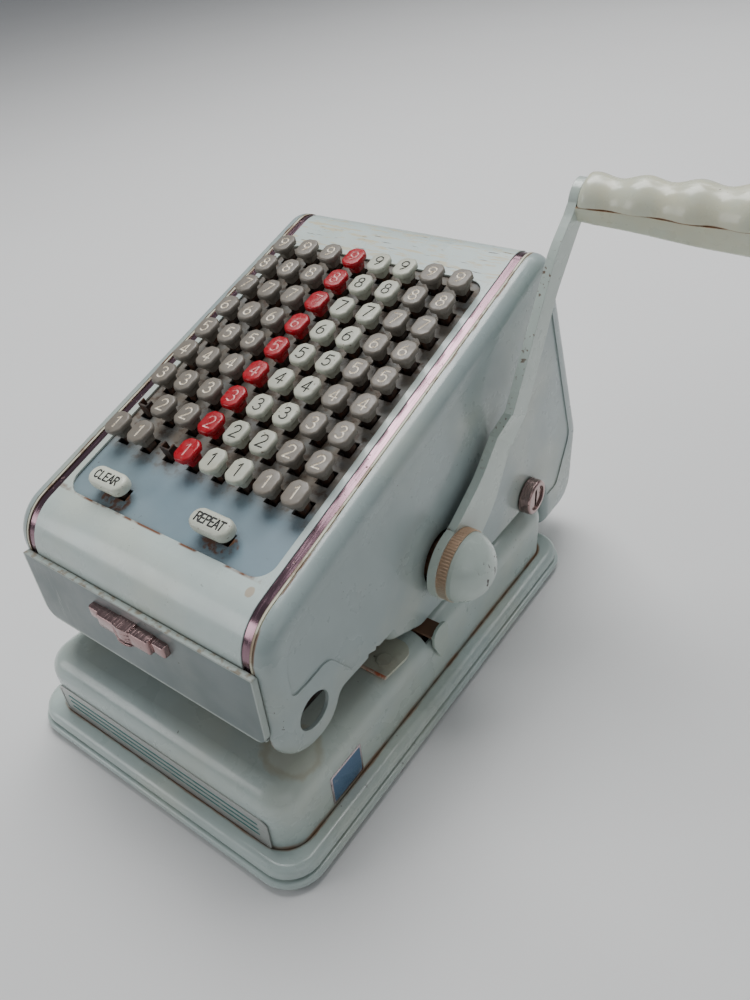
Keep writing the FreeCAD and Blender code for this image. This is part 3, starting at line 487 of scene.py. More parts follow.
def bright_trim(name, color, bead_from=None, pits=0.5, rough=0.13):
    """Old chrome with a rosy cast: pits, hairlines, brown seams. Beyond bead_from it is a painted bead."""
    graph = Graph(name)
    haze = graph.patches(42, 4, 0.35, 0.7, 0.0, 0.5)
    color = graph.mix(haze, color, scaled(color, 0.8))
    pitted = graph.times(graph.patches(420, 3, 0.69 - 0.07 * pits, 0.70), graph.patches(40, 3, 0.4, 0.6))
    hairlines = graph.ramp(graph.noise(1.0, 2, 0.5, graph.stretch(1400, 60, 60)), 0.45, 0.75, 0.0, 0.16)
    gloss = graph.plus(graph.times(haze, 0.14), graph.plus(hairlines, rough))
    seam = graph.ramp(graph.crevice(2.5 * MM), 0.45, 0.9)
    seam = graph.times(seam, graph.patches(170, 4, 0.35, 0.6, 0.2, 0.9))
    dull = graph.most(pitted, seam)
    color = graph.mix(dull, color, (0.12, 0.075, 0.05))
    gloss = graph.blend(dull, gloss, 0.8)
    metal = graph.minus(1.0, graph.times(dull, 0.9))
    normal, rim = graph.edge(0.35 * MM)
    if bead_from is not None:
        side = graph.math("ABSOLUTE", graph.x)
        bead = graph.ramp(side, bead_from, bead_from + 0.15 * MM)
        paint = graph.mix(graph.patches(80, 4, 0.5, 0.62, 0.0, 0.8), (0.66, 0.64, 0.50), (0.30, 0.20, 0.12))
        groove = graph.band(side, bead_from, 0.25 * MM, 0.3 * MM)
        color = graph.mix(bead, color, paint)
        color = graph.mix(graph.times(groove, 0.7), color, (0.15, 0.10, 0.06))
        gloss = graph.blend(bead, gloss, 0.4)
        metal = graph.times(metal, graph.minus(1.0, bead))
    return graph.finish(color, gloss, graph.bump(dull, -0.06 * MM, 0.5, normal), metal)


def collar_copper():
    """Milled collar: copper shows on the ridges, pale paint stays in the grooves and on the lower side."""
    graph = Graph("collar_copper")
    y = graph.minus(graph.y, hub.y)
    z = graph.minus(graph.z, hub.z)
    out = graph.math("SQRT", graph.plus(graph.times(y, y), graph.times(z, z)))
    outer = (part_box("knurled_collar")[1].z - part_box("knurled_collar")[0].z) / 2
    ridge = graph.ramp(out, outer - 0.75 * MM, outer - 0.25 * MM)
    worn = graph.ramp(graph.plus(z, graph.times(graph.noise(90, 3), 14 * MM)), -6 * MM, 14 * MM, 0.15, 0.8)
    bare = graph.times(ridge, worn)
    copper = graph.mix(graph.noise(200, 3), (0.48, 0.27, 0.17), (0.62, 0.40, 0.26))
    color = graph.mix(bare, graph.mix(graph.noise(300, 3), (0.60, 0.60, 0.50), (0.40, 0.33, 0.24)), copper)
    return graph.finish(color, graph.blend(bare, 0.5, 0.38), None, graph.times(bare, 0.75))


def bronze():
    graph = Graph("bush_bronze")
    oily = graph.patches(120, 4, 0.35, 0.7)
    color = graph.mix(oily, (0.38, 0.20, 0.12), (0.15, 0.075, 0.05))
    normal, rim = graph.edge(0.4 * MM)
    return graph.finish(color, graph.ramp(oily, 0, 1, 0.3, 0.55), normal, 0.7)


def key_plastic(name, color, rim_highlight_color, gloss=0.34):
    """Moulded cap: each one a little different, darker handled crown, painted highlight on the rounded rim, painted
    shade low on the skirt, fine scratches.
    """
    graph = Graph(name)
    apart = graph.node("ShaderNodeNewGeometry").outputs["Random Per Island"]
    darker = scaled(color, 0.80)
    shade = graph.mix(apart, color, darker)
    crown = slope_axis(graph)
    top = graph.ramp(crown, deck_level + CAP_TOP - 1.4 * MM, deck_level + CAP_TOP - 0.2 * MM)
    touched = graph.times(top, graph.patches(210, 4, 0.3, 0.7, 0.25, 0.7))
    handled = tuple(channel * 0.78 * tone for channel, tone in zip(color, (1.04, 0.97, 0.9)))
    shade = graph.mix(touched, shade, handled)
    normal, rim = graph.edge(0.6 * MM, 0.01, 0.16)
    # painted highlight: the rounded edges are lightened in the colour, as where they catch the light
    shade = graph.mix(graph.times(rim, 0.55), shade, rim_highlight_color)
    # painted shade: an ambient-occlusion mask darkens the lower skirt and the sides facing the next caps in the
    # colour, mottled by noise
    crevice_darkening = graph.times(graph.ramp(graph.crevice(5 * MM), 0.4, 0.95), graph.patches(150, 4, 0.3, 0.6, 0.2, 0.7))
    shade = graph.mix(crevice_darkening, shade, (0.10, 0.075, 0.055))
    nick = graph.times(graph.patches(520, 2, 0.68, 0.71), 0.8)
    shade = graph.mix(nick, shade, (0.20, 0.16, 0.12))
    gloss = graph.patches(260, 4, 0.3, 0.7, gloss - 0.06, gloss + 0.16)
    surface = graph.bump(graph.noise(800, 3), 0.03 * MM, 0.5, normal)
    return graph.finish(shade, gloss, surface, subsurface_weight=0.04, subsurface_scale=0.0010,
                        subsurface_radius=(1.0, 0.7, 0.5))


def slope_axis(graph):
    """Height off the origin along the normal of the keyboard."""
    return graph.minus(graph.times(graph.z, math.cos(slope)),
                      graph.times(graph.y, math.sin(slope)))


def engraving_paint(name, color, lost):
    """Paint rubbed into the engraving, missing here and there."""
    graph = Graph(name)
    shade = graph.mix(graph.patches(650, 3, 0.5, 0.68, 0.0, 0.8), color, lost)
    return graph.finish(shade, 0.6)


def grip_plastic():
    """Cream moulding with a brown line where the halves meet, faint yellow clouds and small pits."""
    graph = Graph("grip_plastic")
    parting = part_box("grip_upper")[0].z
    clouds = graph.patches(32, 4, 0.4, 0.7, 0.0, 0.6)
    color = graph.mix(clouds, (0.66, 0.69, 0.56), (0.70, 0.66, 0.47))
    wobble = graph.times(graph.minus(graph.noise(120, 3), 0.5), 0.8 * MM)
    height = graph.plus(graph.z, wobble)
    line = graph.band(height, parting, 0.25 * MM, 0.35 * MM)
    line = graph.times(line, graph.patches(90, 3, 0.3, 0.5, 0.5, 1.0))
    color = graph.mix(line, color, (0.30, 0.17, 0.09))
    pit = graph.times(graph.patches(300, 2, 0.70, 0.73), graph.patches(30, 2, 0.5, 0.65))
    color = graph.mix(pit, color, (0.24, 0.18, 0.11))
    gloss = graph.patches(75, 4, 0.3, 0.7, 0.2, 0.36)
    surface = graph.bump(graph.minus(graph.noise(260, 3), graph.times(pit, 4.0)), 0.05 * MM, 0.5)
    return graph.finish(color, gloss, surface, coat_weight=0.25, coat_roughness=0.1, subsurface_weight=0.12,
                        subsurface_scale=0.002, subsurface_radius=(1.0, 0.85, 0.55))


def plain_rubber(name, color, grain=900):
    graph = Graph(name)
    shade = graph.mix(graph.patches(grain / 6, 4, 0.3, 0.7), color, scaled(color, 1.9))
    return graph.finish(shade, graph.patches(grain / 3, 3, 0.3, 0.7, 0.65, 0.9),
                        graph.bump(graph.noise(grain, 4), 0.25 * MM, 0.7))


def foil(name, color, rough, metal):
    """Printed foil of the badge and the front strip: fine brushing, scuffs, brown at the edge."""
    graph = Graph(name)
    brushed = graph.noise(1.0, 3, 0.6, graph.stretch(60, 900, 1400))
    scuff = graph.patches(130, 4, 0.55, 0.7, 0.0, 0.45)
    shade = graph.mix(graph.ramp(brushed, 0.3, 0.7, 0.0, 0.3), color, scaled(color, 0.7))
    shade = graph.mix(scuff, shade, (0.42, 0.43, 0.41))
    seam = graph.ramp(graph.crevice(3 * MM), 0.45, 0.9, 0.0, 0.7)
    shade = graph.mix(seam, shade, (0.20, 0.13, 0.08))
    gloss = graph.ramp(brushed, 0.3, 0.7, rough, rough + 0.15)
    return graph.finish(shade, gloss, graph.bump(brushed, 0.02 * MM, 0.4), metal)


# ---------------------------------------------------------------- mesh helpers
def make_object(name, builder, materials, smooth_degrees=38):
    """Object from a bmesh, smooth but for its sharp edges."""
    mesh = bpy.data.meshes.new(name)
    bmesh.ops.recalc_face_normals(builder, faces=builder.faces)
    builder.to_mesh(mesh)
    builder.free()
    for material in materials:
        mesh.materials.append(material)
    mesh.shade_smooth()
    mesh.set_sharp_from_angle(angle=math.radians(smooth_degrees))
    made = bpy.data.objects.new(name, mesh)
    bpy.context.scene.collection.objects.link(made)
    return made


def loft(builder, rings, close_start=True, close_end=True):
    """Skin through rings that all have the same number of points."""
    rows = [[builder.verts.new(point) for point in ring] for ring in rings]
    count = len(rows[0])
    for lower, upper in zip(rows, rows[1:]):
        for i in range(count):
            builder.faces.new((lower[i], lower[(i + 1) % count], upper[(i + 1) % count], upper[i]))
    if close_start:
        builder.faces.new(reversed(rows[0]))
    if close_end:
        builder.faces.new(rows[-1])


def rounded_ring(half_x, half_y, corner, height, steps=3, pointed=0.0):
    """Rectangle with rounded corners as a ring of points; pointed draws the corner arcs towards chamfers."""
    points = []
    for quarter, (sx, sy) in enumerate(((1, 1), (-1, 1), (-1, -1), (1, -1))):
        cx = sx * (half_x - corner)
        cy = sy * (half_y - corner)
        for i in range(steps + 1):
            angle = math.radians(90 * quarter + 90 * i / steps)
            flat = i / steps
            if quarter % 2:
                flat = 1 - flat
            round_x = cx + corner * math.cos(angle)
            round_y = cy + corner * math.sin(angle)
            straight_x = cx + sx * corner * (1 - flat)
            straight_y = cy + sy * corner * flat
            points.append(Vector((round_x + (straight_x - round_x) * pointed,
                                  round_y + (straight_y - round_y) * pointed, height)))
    return points


def arc(cx, cy, rx, ry, start, stop, steps=12):
    """Points of an elliptic arc, angles in degrees."""
    angles = [math.radians(start + (stop - start) * i / steps) for i in range(steps + 1)]
    return [(cx + rx * math.cos(angle), cy + ry * math.sin(angle)) for angle in angles]


def numeral_six():
    return [arc(0.30, 0.28, 0.28, 0.28, 0, 360, 20), arc(0.74, 0.30, 0.72, 0.70, 180, 118)]


def half_turn(strokes):
    return [[(0.60 - x, 1.0 - y) for x, y in stroke] for stroke in strokes]


BOWL = arc(0.32, 0.76, 0.25, 0.24, 90, -90)
GLYPHS = {
    "1": [[(0.14, 0.80), (0.34, 1.0)], [(0.34, 1.0), (0.34, 0.0)]],
    "2": [arc(0.30, 0.71, 0.28, 0.29, 165, -38) + [(0.03, 0.0)], [(0.03, 0.0), (0.60, 0.0)]],
    "3": [arc(0.29, 0.765, 0.235, 0.235, 155, -90), arc(0.29, 0.265, 0.28, 0.265, 90, -155)],
    "4": [[(0.43, 0.0), (0.43, 1.0)], [(0.43, 1.0), (0.02, 0.30)], [(0.02, 0.30), (0.62, 0.30)]],
    "5": [[(0.54, 1.0), (0.13, 1.0)], [(0.13, 1.0), (0.07, 0.55)], arc(0.29, 0.325, 0.29, 0.325, 138, -140)],
    "6": numeral_six(),
    "7": [[(0.02, 1.0), (0.60, 1.0)], [(0.60, 1.0), (0.20, 0.0)]],
    "8": [arc(0.30, 0.765, 0.22, 0.235, 0, 360, 20), arc(0.30, 0.27, 0.28, 0.27, 0, 360, 20)],
    "9": half_turn(numeral_six()),
    "A": [[(0.0, 0.0), (0.30, 1.0)], [(0.30, 1.0), (0.60, 0.0)], [(0.11, 0.32), (0.49, 0.32)]],
    "C": [arc(0.32, 0.50, 0.30, 0.50, 48, 312, 18)],
    "E": [[(0.06, 0.0), (0.06, 1.0)], [(0.06, 1.0), (0.54, 1.0)], [(0.06, 0.52), (0.46, 0.52)],
          [(0.06, 0.0), (0.54, 0.0)]],
    "L": [[(0.06, 1.0), (0.06, 0.0)], [(0.06, 0.0), (0.52, 0.0)]],
    "P": [[(0.06, 0.0), (0.06, 1.0)], [(0.06, 1.0)] + BOWL + [(0.06, 0.52)]],
    "R": [[(0.06, 0.0), (0.06, 1.0)], [(0.06, 1.0)] + BOWL + [(0.06, 0.52)], [(0.30, 0.52), (0.58, 0.0)]],
    "T": [[(0.0, 1.0), (0.60, 1.0)], [(0.30, 1.0), (0.30, 0.0)]],
}


def groove(builder, stroke, half_width, bottom, top):
    """Closed prism round a line of points, with round ends: the path of an engraving tool."""
    points = [Vector((x, y, 0)) for x, y in stroke]
    closed = (points[0] - points[-1]).length < 1e-6
    left, right = [], []
    for i, point in enumerate(points):
        before = points[i - 1] if i else (points[-2] if closed else None)
        after = points[i + 1] if i + 1 < len(points) else (points[1] if closed else None)
        ahead = ((after or point) - (before or point)).normalized()
        side = Vector((-ahead.y, ahead.x, 0)) * half_width
        left.append(point + side)
        right.append(point - side)

    def end(point, side):
        return [point + Matrix.Rotation(-math.pi * i / 5, 3, "Z") @ side for i in range(1, 5)]

    if closed:
        rows = []
        for line in (left[:-1], right[:-1]):
            rows.append([[builder.verts.new((p.x, p.y, z)) for p in line] for z in (bottom, top)])
        (left_low, left_high), (right_low, right_high) = rows
        count = len(left_low)
        for i in range(count):
            j = (i + 1) % count
            builder.faces.new((left_low[i], left_low[j], left_high[j], left_high[i]))
            builder.faces.new((right_low[j], right_low[i], right_high[i], right_high[j]))
            builder.faces.new((left_high[i], left_high[j], right_high[j], right_high[i]))
            builder.faces.new((left_low[j], left_low[i], right_low[i], right_low[j]))
        return
    outline = left + end(points[-1], left[-1] - points[-1]) + right[::-1] + end(points[0], right[0] - points[0])
    loft(builder, [[Vector((p.x, p.y, z)) for p in outline] for z in (bottom, top)])


def engrave(body, text, size, spacing, half_width, depth, paint):
    """Cut a text of glyphs into the top of a piece, centred, and paint the cut."""
    cutter_mesh = bmesh.new()
    top = max(vertex.co.z for vertex in body.data.vertices)
    width = spacing * (len(text) - 1) + 0.60 * size
    for i, letter in enumerate(text):
        left = -width / 2 + spacing * i
        for stroke in GLYPHS[letter]:
            placed = [(left + x * size, (y - 0.5) * size) for x, y in stroke]
            groove(cutter_mesh, placed, half_width, top - depth, top + depth)
    cutter = make_object("engraving_tool", cutter_mesh, [paint])
    modifier = body.modifiers.new("engraving", "BOOLEAN")
    modifier.operation = "DIFFERENCE"
    modifier.solver = "EXACT"
    modifier.use_self = True
    modifier.material_mode = "TRANSFER"
    modifier.object = cutter
    carved = bpy.data.meshes.new_from_object(body.evaluated_get(bpy.context.evaluated_depsgraph_get()))
    bpy.data.objects.remove(cutter)
    bpy.data.objects.remove(body)
    return carved


def join_meshes(name, parts):
    """One object from (mesh, matrix) pairs."""
    builder = bmesh.new()
    for mesh, matrix in parts:
        first = len(builder.verts)
        builder.from_mesh(mesh)
        builder.verts.ensure_lookup_table()
        bmesh.ops.transform(builder, matrix=matrix, verts=builder.verts[first:])
    return make_object(name, builder, list(parts[0][0].materials))


# ---------------------------------------------------------------- key caps
def blank_cap(material):
    """Long octagonal cap: narrow socket, flared skirt, upright band, rolled edge and a flat top."""
    builder = bmesh.new()
    half_x, half_u = CAP_X / 2, CAP_U / 2
    band = CAP_TOP - 3.5 * MM
    rings = [
        rounded_ring(half_x - 2.5 * MM, half_u - 3.5 * MM, 1.2 * MM, CAP_BASE, 3, 0.9),
        rounded_ring(half_x - 2.2 * MM, half_u - 3.1 * MM, 1.6 * MM, CAP_BASE + 2.2 * MM, 3, 0.9),
        rounded_ring(half_x - 1.6 * MM, half_u - 2.2 * MM, 2.4 * MM, band - 0.8 * MM, 3, 0.9),
        rounded_ring(half_x - 0.12 * MM, half_u - 0.15 * MM, 3.2 * MM, band + 0.5 * MM, 3, 0.8),
        rounded_ring(half_x, half_u, 3.3 * MM, band + 1.3 * MM, 3, 0.75),
        rounded_ring(half_x - 0.05 * MM, half_u - 0.05 * MM, 3.3 * MM, CAP_TOP - 1.1 * MM, 3, 0.7),
        rounded_ring(half_x - 0.30 * MM, half_u - 0.30 * MM, 3.2 * MM, CAP_TOP - 0.42 * MM, 3, 0.65),
        rounded_ring(half_x - 0.80 * MM, half_u - 0.80 * MM, 3.0 * MM, CAP_TOP - 0.06 * MM, 3, 0.6),
        rounded_ring(half_x - 1.20 * MM, half_u - 1.20 * MM, 2.8 * MM, CAP_TOP, 3, 0.6),
    ]
    loft(builder, rings)
    return make_object("blank_cap", builder, [material], 60)


def key_column(column, material, paint):
    """The caps of one column, each with its row number engraved, seated a little unevenly."""
    parts = []
    for row in range(1, KEY_ROWS + 1):
        if (column, row) in BARE_KEYS:
            continue
        carved = engrave(blank_cap(material), str(row), 7.4 * MM, 0, 0.42 * MM, 0.4 * MM, paint)
        tilt = Matrix.Rotation(math.radians(chance.uniform(-1.6, 1.6)), 4, "Z")
        lean = Matrix.Rotation(math.radians(chance.uniform(-0.9, 0.9)), 4, "Y")
        seat = on_deck(column_x(column), FIRST_ROW_U + (row - 1) * ROW_PITCH, chance.uniform(-0.25, 0.0) * MM)
        parts.append((carved, seat @ tilt @ lean))
    caps = join_meshes("numbered_caps_%d" % column, parts)
    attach(caps, "key_column_%d" % column)
    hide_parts("key_caps_%d" % column)
    return caps


def function_key(name, text, material, paint):
    """Wide rounded cap of a function key with its word engraved."""
    node = name + "_key_cap"
    low, high = slope_box(node)
    half_x, half_u = (high.x - low.x) / 2, (high.y - low.y) / 2
    top, base = high.z - deck_level, low.z - deck_level
    builder = bmesh.new()
    corner = half_u - 0.2 * MM
    profile = [(0.9, 0.0), (0.2, 0.5), (0.0, 1.4), (0.0, 3.6), (0.25, 4.9), (0.8, 5.6), (1.7, 6.0)]
    rings = []
    for inset, rise in profile:
        height = base + (top - base) * rise / 6.0
        rings.append(rounded_ring(half_x - inset * MM, half_u - inset * MM, corner - inset * MM, height, 8))
    loft(builder, rings)
    cap = make_object("blank_" + name, builder, [material], 60)
    spacing = 3.35 * MM if len(text) == 5 else 2.95 * MM
    carved = engrave(cap, text, 4.6 * MM, spacing, 0.45 * MM, 0.3 * MM, paint)
    seat = on_deck((low.x + high.x) / 2, (low.y + high.y) / 2, 0)
    piece = join_meshes(name + "_cap", [(carved, seat)])
    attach(piece, name + "_key")
    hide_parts(node)
    return piece


def make_keys():
    cream = engraving_paint("numeral_cream", (1.0, 0.93, 0.80), (0.70, 0.60, 0.48))
    rose = engraving_paint("numeral_rose", (0.95, 0.60, 0.58), (0.60, 0.15, 0.17))
    dark = engraving_paint("numeral_dark", (0.055, 0.055, 0.045), (0.25, 0.24, 0.20))
    letters = engraving_paint("function_letters", (0.02, 0.02, 0.02), (0.05, 0.05, 0.045))
    # the second colour of each cap is the painted highlight on its rounded rim
    grey = key_plastic("key_grey", (0.215, 0.195, 0.165), (0.46, 0.45, 0.40))
    red = key_plastic("key_red", (0.44, 0.001, 0.012), (0.58, 0.012, 0.035), 0.25)
    white = key_plastic("key_white", (0.56, 0.585, 0.49), (0.72, 0.74, 0.65))
    ivory = key_plastic("key_ivory", (0.68, 0.71, 0.60), (0.76, 0.78, 0.70), 0.28)
    colours = {4: ("key_red", red, rose), 5: ("key_white", white, dark), 6: ("key_white", white, dark)}
    for column in range(1, KEY_COLUMNS + 1):
        slot_name, material, paint = colours.get(column, ("key_grey", grey, cream))
        key_column(column, material, paint)
    function_key("clear", "CLEAR", ivory, letters)
    function_key("repeat", "REPEAT", ivory, letters)


# ---------------------------------------------------------------- grip
def grip_radius(t):
    """Finger waves along the grip; t runs from the arm to the end."""
    return (12.5 + 3.9 * t + 1.2 * math.cos(2 * math.pi * (4.06 * t - 0.153))) * MM


def make_grip(material):
    """Upper half with finger waves and rounded ends, lower keel, each its own moulding."""
    low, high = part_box("grip_upper")
    centre_y = (low.y + high.y) / 2
    parting = low.z
    length = high.x - low.x
    steps = 56
    rings = []
    for i in range(steps + 1):
        t = i / steps
        x = low.x + length * t
        from_end = min(t, 1 - t) * length
        rounding = 2.6 * MM
        inset = rounding - math.sqrt(max(0.0, rounding ** 2 - max(0.0, rounding - from_end) ** 2))
        radius = grip_radius(t) - inset * 0.9
        ring = [Vector((x, centre_y - radius * math.cos(math.pi * k / 20), parting + 0.15 * MM
                        + radius * 1.01 * math.sin(math.pi * k / 20))) for k in range(21)]
        rings.append(ring)
    builder = bmesh.new()
    loft(builder, rings)
    upper = make_object("finger_grip_upper", builder, [material], 50)
    keel_low, keel_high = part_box("grip_lower")
    rings = []
    sections = 14
    for i in range(sections + 1):
        t = i / sections
        x = keel_low.x + (keel_high.x - keel_low.x) * t
        depth = (9.2 + 5.8 * t) * MM
        from_end = min(t, 1 - t) * (keel_high.x - keel_low.x)
        shrink = max(0.0, 1.0 - from_end / (1.2 * MM)) * 0.7 * MM
        half_top = grip_radius(0.3 + 0.4 * t) - 0.9 * MM - shrink
        half_bottom = half_top * 0.60
        corner = 1.6 * MM
        profile = [(-half_top, 0.0), (half_top, 0.0), (half_top - 0.3 * MM, -1.4 * MM),
                   (half_bottom + corner * 0.5, -depth + corner), (half_bottom, -depth + 0.4 * corner),
                   (half_bottom - corner * 0.7, -depth + shrink), (-half_bottom + corner * 0.7, -depth + shrink),
                   (-half_bottom, -depth + 0.4 * corner), (-half_bottom - corner * 0.5, -depth + corner),
                   (-half_top + 0.3 * MM, -1.4 * MM)]
        rings.append([Vector((x, centre_y + y, keel_high.z - 0.1 * MM + z)) for y, z in profile])
    builder = bmesh.new()
    loft(builder, rings)
    lower = make_object("finger_grip_lower", builder, [material], 50)
    for piece, node in ((upper, "grip_upper"), (lower, "grip_lower")):
        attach(piece, "crank")
        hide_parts(node)


# ---------------------------------------------------------------- door pull
def block(builder, half_x, depth_from, depth_to, z0, z1, x=0.0, taper=1.2 * MM):
    """Bar on the door's face with bevelled outer edges; depth grows towards the operator."""
    def ring(y, inset):
        return [Vector((x + sx * (half_x - inset), -y, z1 - inset if sz > 0 else z0 + inset))
                for sx, sz in ((1, 1), (-1, 1), (-1, -1), (1, -1))]
    loft(builder, [ring(depth_from, 0.0), ring(depth_to - taper, 0.0), ring(depth_to - taper * 0.3, taper * 0.35),
                   ring(depth_to, taper)])


def make_door_pull(material):
    """Bright pull: long bar, smaller stepped ends, a ridge over the middle and curved fins under it."""
    low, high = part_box("door_pull")
    face = -high.y
    depth = high.y - low.y
    centre = low.z + 7.4 * MM
    builder = bmesh.new()
    block(builder, 18.5 * MM, face, face + depth * 0.83, centre - 4.3 * MM, centre + 4.3 * MM)
    for side in (-1, 1):
        block(builder, 4.4 * MM, face, face + depth * 0.57, centre - 3.4 * MM, centre + 3.5 * MM,
              side * 22.6 * MM)
    ridge = [(5.5, 0.84, 4.5), (3.8, 0.90, 4.9), (1.6, 0.97, 5.3), (0.6, 0.99, 5.4)]
    corners = ((1, 5.4), (-1, 5.4), (-1, -2.0), (1, -2.0))
    back = [Vector((sx * 5.8 * MM, -face, centre + z * MM)) for sx, z in corners]
    rings = [back]
    for half, share, rise in ridge:
        rings.append([Vector((sx * half * MM, -(face + depth * share), centre + z * MM))
                      for sx, z in ((1, rise), (-1, rise), (-1, -1.8), (1, -1.8))])
    loft(builder, rings)
    fins = 4
    for i in range(fins):
        drop = centre + (2.7 - 2.5 * i) * MM
        half = (7.3 - 0.55 * max(0, i - 1)) * MM
        count = 12
        rings = []
        for k in range(count + 1):
            t = -1 + 2 * k / count
            bulge = depth * (0.74 + 0.25 * math.sqrt(max(0.0, 1 - t * t)))
            sag = 1.0 * MM * (1 - t * t)
            z = drop - sag
            thick = 0.62 * MM
            outline = ((face, thick), (face + bulge - 0.4 * MM, thick), (face + bulge, 0.0),
                       (face + bulge - 0.4 * MM, -thick), (face, -thick))
            rings.append([Vector((half * t, -out, z + rise)) for out, rise in outline])
        loft(builder, rings)
    block(builder, 6.4 * MM, face, face + depth * 0.7, centre - 6.9 * MM, centre + 1.0 * MM)
    pull = make_object("bright_door_pull", builder, [material], 28)
    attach(pull, "door")
    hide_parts("door_pull")


# ---------------------------------------------------------------- plates on the base
def plate_on_front(name, material, x0, x1, z0, z1, corner, out_from, out_to):
    """Thin rounded plate in front of the base wall."""
    wall = -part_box("base_shell")[0].y
    half_x, half_z = (x1 - x0) / 2, (z1 - z0) / 2
    builder = bmesh.new()
    rings = []
    for out, inset in ((out_from, 0.0), (out_to - 0.12 * MM, 0.0), (out_to, 0.14 * MM)):
        flat = rounded_ring(half_x - inset, half_z - inset, corner, 0, 5)
        rings.append([Vector(((x0 + x1) / 2 + p.x, -(wall + out), (z0 + z1) / 2 + p.y)) for p in flat])
    loft(builder, rings)
    made = make_object(name, builder, [material])
    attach(made, "base")
    return made


def make_front_strip(plate_metal, stripe):
    """Generic strip: three plain pinstripes on the plate, in place of any lettering."""
    low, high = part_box("front_nameplate")
    proud = high.y - low.y
    for i in range(3):
        z = low.z + (high.z - low.z) * (0.30 + 0.20 * i)
        plate_on_front("front_pinstripe_%d" % (i + 1), stripe, low.x + 7 * MM, high.x - 7 * MM,
                       z - 0.7 * MM, z + 0.7 * MM, 0.65 * MM, proud - 0.5 * MM, proud - 0.05 * MM)
    nodes["front_nameplate"].data.materials.clear()
    nodes["front_nameplate"].data.materials.append(plate_metal)


def make_side_badge(frame_metal, field):
    """Small foil badge on the right wall: bright border, plain blue field."""
    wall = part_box("base_shell")[1].x
    width, height = 26 * MM, 22.5 * MM
    middle_y, middle_z = -93 * MM, 28.25 * MM
    for name, material, inset, out in (("badge_border", frame_metal, 0.0, 0.35), ("badge_field", field, 1.3, 0.45)):
        builder = bmesh.new()
        rings = []
        for x, edge in ((wall - 0.2 * MM, 0.0), (wall + out * MM, 0.0), (wall + (out + 0.08) * MM, 0.12 * MM)):
            smaller = inset * MM + edge
            flat = rounded_ring(width / 2 - smaller, height / 2 - smaller, 1.0 * MM, 0, 4)
            rings.append([Vector((x, middle_y + p.x, middle_z + p.y)) for p in flat])
        loft(builder, rings)
        badge = make_object(name, builder, [material])
        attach(badge, "base")


# ---------------------------------------------------------------- return spring
def make_return_spring(material):
    """Flat clock spring wound round the crank shaft, inside the CAD ring that stands for it."""
    low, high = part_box("crank_return_spring")
    outer = (high.z - low.z) / 2 - 0.6 * MM
    inner = 9.0 * MM
    turns, per_turn, half_thick = 6, 48, 0.28 * MM
    rings = []
    for i in range(turns * per_turn + 1):
        share = i / (turns * per_turn)
        angle = 2 * math.pi * turns * share
        radius = inner + (outer - inner) * share
        ring = []
        for x, off in ((low.x, -1), (high.x, -1), (high.x, 1), (low.x, 1)):
            reach = radius + off * half_thick
            ring.append(Vector((x, hub.y + reach * math.cos(angle), hub.z + reach * math.sin(angle))))
        rings.append(ring)
    builder = bmesh.new()
    loft(builder, rings)
    spring = make_object("clock_spring", builder, [material])
    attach(spring, "base")
    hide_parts("crank_return_spring")


# ---------------------------------------------------------------- finishes on the CAD pieces
def dress(material, *names):
    for name in names:
        mesh = nodes[name].data
        mesh.materials.clear()
        mesh.materials.append(material)


def dress_cad():
    bead_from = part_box("side_cover_right")[0].x - 2.0 * MM
    trim = bright_trim("trim_chrome", (0.27, 0.165, 0.20), bead_from)
    knob = bright_trim("knob_chrome", (0.40, 0.28, 0.27), pits=0.9, rough=0.16)
    machined = steel("machined_steel", (0.46, 0.45, 0.43))
    black_steel = steel("black_steel", (0.055, 0.05, 0.048), 0.45, 0.6, 0.5)
    dress(base_enamel(), "base_pan", "base_shell")
    dress(cover_enamel(), "side_cover_left", "side_cover_right")
    dress(top_enamel(), "top_cover")
    dress(deck_enamel(), "keyboard_deck")
    dress(door_enamel(), "front_door")
    dress(arm_enamel(), "crank_arm", "hub_cap")
    dress(table_enamel(), "cheque_table")
    dress(lever_finish(), "release_lever")
    dress(trim, "trim_strip_left", "trim_strip_right")
    dress(knob, "lock_knob")
    dress(collar_copper(), "knurled_collar")
    dress(bronze(), "shaft_bushes")
    dress(black_steel, "bottom_plate", "frame_left", "frame_right", "rear_stand", "head_cross_plates")
    dress(machined, "door_hinge_pin", "frame_tie_rods", "crank_shaft", "drive_cams", "grip_spindle", "type_wheels",
          "type_wheel_shaft", "ink_roller_spindle", "platen_bar", "selector_racks", "release_lever_pin")
    dress(plain_rubber("foot_rubber", (0.012, 0.012, 0.012)), "rubber_feet")
    dress(plain_rubber("ink_felt", (0.035, 0.014, 0.011), 1400), "ink_roller")
    stems = rusty_stems()
    dress(stems, "key_guide_plate", "clear_key_stem", "repeat_key_stem")
    dress(stems, *["key_stems_%d" % column for column in range(1, KEY_COLUMNS + 1)])
    make_return_spring(machined)


# ---------------------------------------------------------------- stage
def make_floor():
    graph = Graph("pale_floor")
    tone = graph.mix(graph.patches(3, 3, 0.3, 0.7, 0.0, 0.25), (0.78, 0.78, 0.775), (0.74, 0.74, 0.735))
    material = graph.finish(tone, 0.75, specular_ior_level=0.2)
    builder = bmesh.new()
    size, rise, bend = 6.0, 4.0, 2.0
    profile = [(-size, 0.0), (size - bend, 0.0)]
    profile += [(size - bend + bend * math.sin(math.radians(a)), bend - bend * math.cos(math.radians(a)))
                for a in range(10, 91, 10)]
    profile += [(size, rise)]
    rows = [[builder.verts.new((x, y, z - 0.0002)) for x in (-size, size)] for y, z in profile]
    for near, far in zip(rows, rows[1:]):
        builder.faces.new((near[0], near[1], far[1], far[0]))
    make_object("studio_floor", builder, [material], 60)


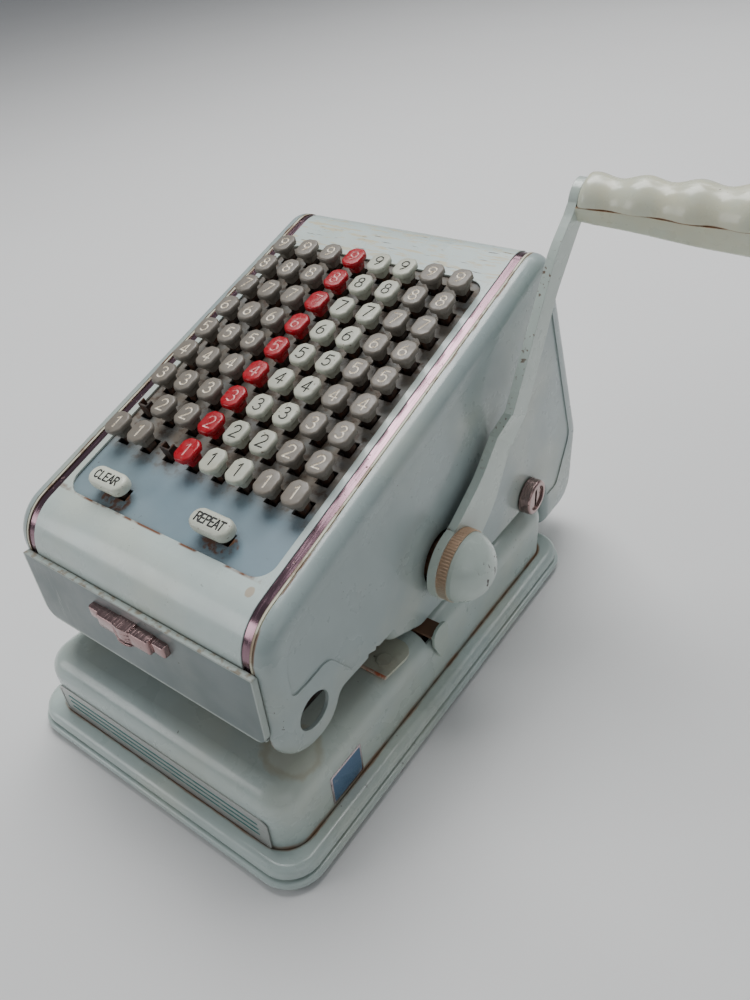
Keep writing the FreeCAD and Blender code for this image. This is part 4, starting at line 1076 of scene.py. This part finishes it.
def area_light(name, place, target, size, power, color=(1, 1, 1)):
    light = bpy.data.lights.new(name, "AREA")
    light.shape = "RECTANGLE"
    light.size, light.size_y = size
    light.energy = power
    light.color = color
    made = bpy.data.objects.new(name, light)
    made.location = place
    made.rotation_euler = (Vector(target) - Vector(place)).to_track_quat("-Z", "Y").to_euler()
    bpy.context.scene.collection.objects.link(made)


def make_lights():
    target = (0, 0, 0.12)
    area_light("overhead", (-0.45, 0.55, 2.0), target, (1.3, 1.1), 40)
    area_light("front_left", (-1.0, -1.2, 0.7), target, (0.7, 0.8), 6)
    area_light("right_fill", (1.2, -0.6, 0.8), target, (0.9, 0.9), 1.6)
    area_light("backdrop", (0.0, 2.2, 2.4), (0, 3.6, 0), (3.0, 1.2), 55)
    world = bpy.data.worlds.new("studio")
    world.use_nodes = True
    world.node_tree.nodes["Background"].inputs["Color"].default_value = (0.80, 0.84, 0.90, 1)
    world.node_tree.nodes["Background"].inputs["Strength"].default_value = 0.22
    bpy.context.scene.world = world


def make_camera():
    """Camera above the operator's right shoulder."""
    data = bpy.data.cameras.new("camera")
    data.sensor_width = 36.0
    data.lens = 28.95
    data.clip_start = 0.01
    camera = bpy.data.objects.new("camera", data)
    pitch, roll, heading = 52.4192, 3.9077, 35.4201    # degrees; the pitch is from straight down
    camera.location = (0.2700, -0.2715, 0.3985)
    camera.rotation_euler = [math.radians(angle) for angle in (pitch, roll, heading)]
    bpy.context.scene.collection.objects.link(camera)
    bpy.context.scene.camera = camera


# ---------------------------------------------------------------- everything
make_camera()
dress_cad()
make_keys()
make_grip(grip_plastic())
make_door_pull(bright_trim("pull_chrome", (0.40, 0.27, 0.265), pits=0.6))
make_front_strip(foil("strip_metal", (0.52, 0.53, 0.51), 0.3, 0.6),
                 foil("strip_stripe", (0.05, 0.20, 0.19), 0.4, 0.1))
make_side_badge(bright_trim("badge_chrome", (0.62, 0.52, 0.54), pits=0.3),
                foil("badge_blue", (0.09, 0.17, 0.28), 0.35, 0.3))
make_floor()
make_lights()
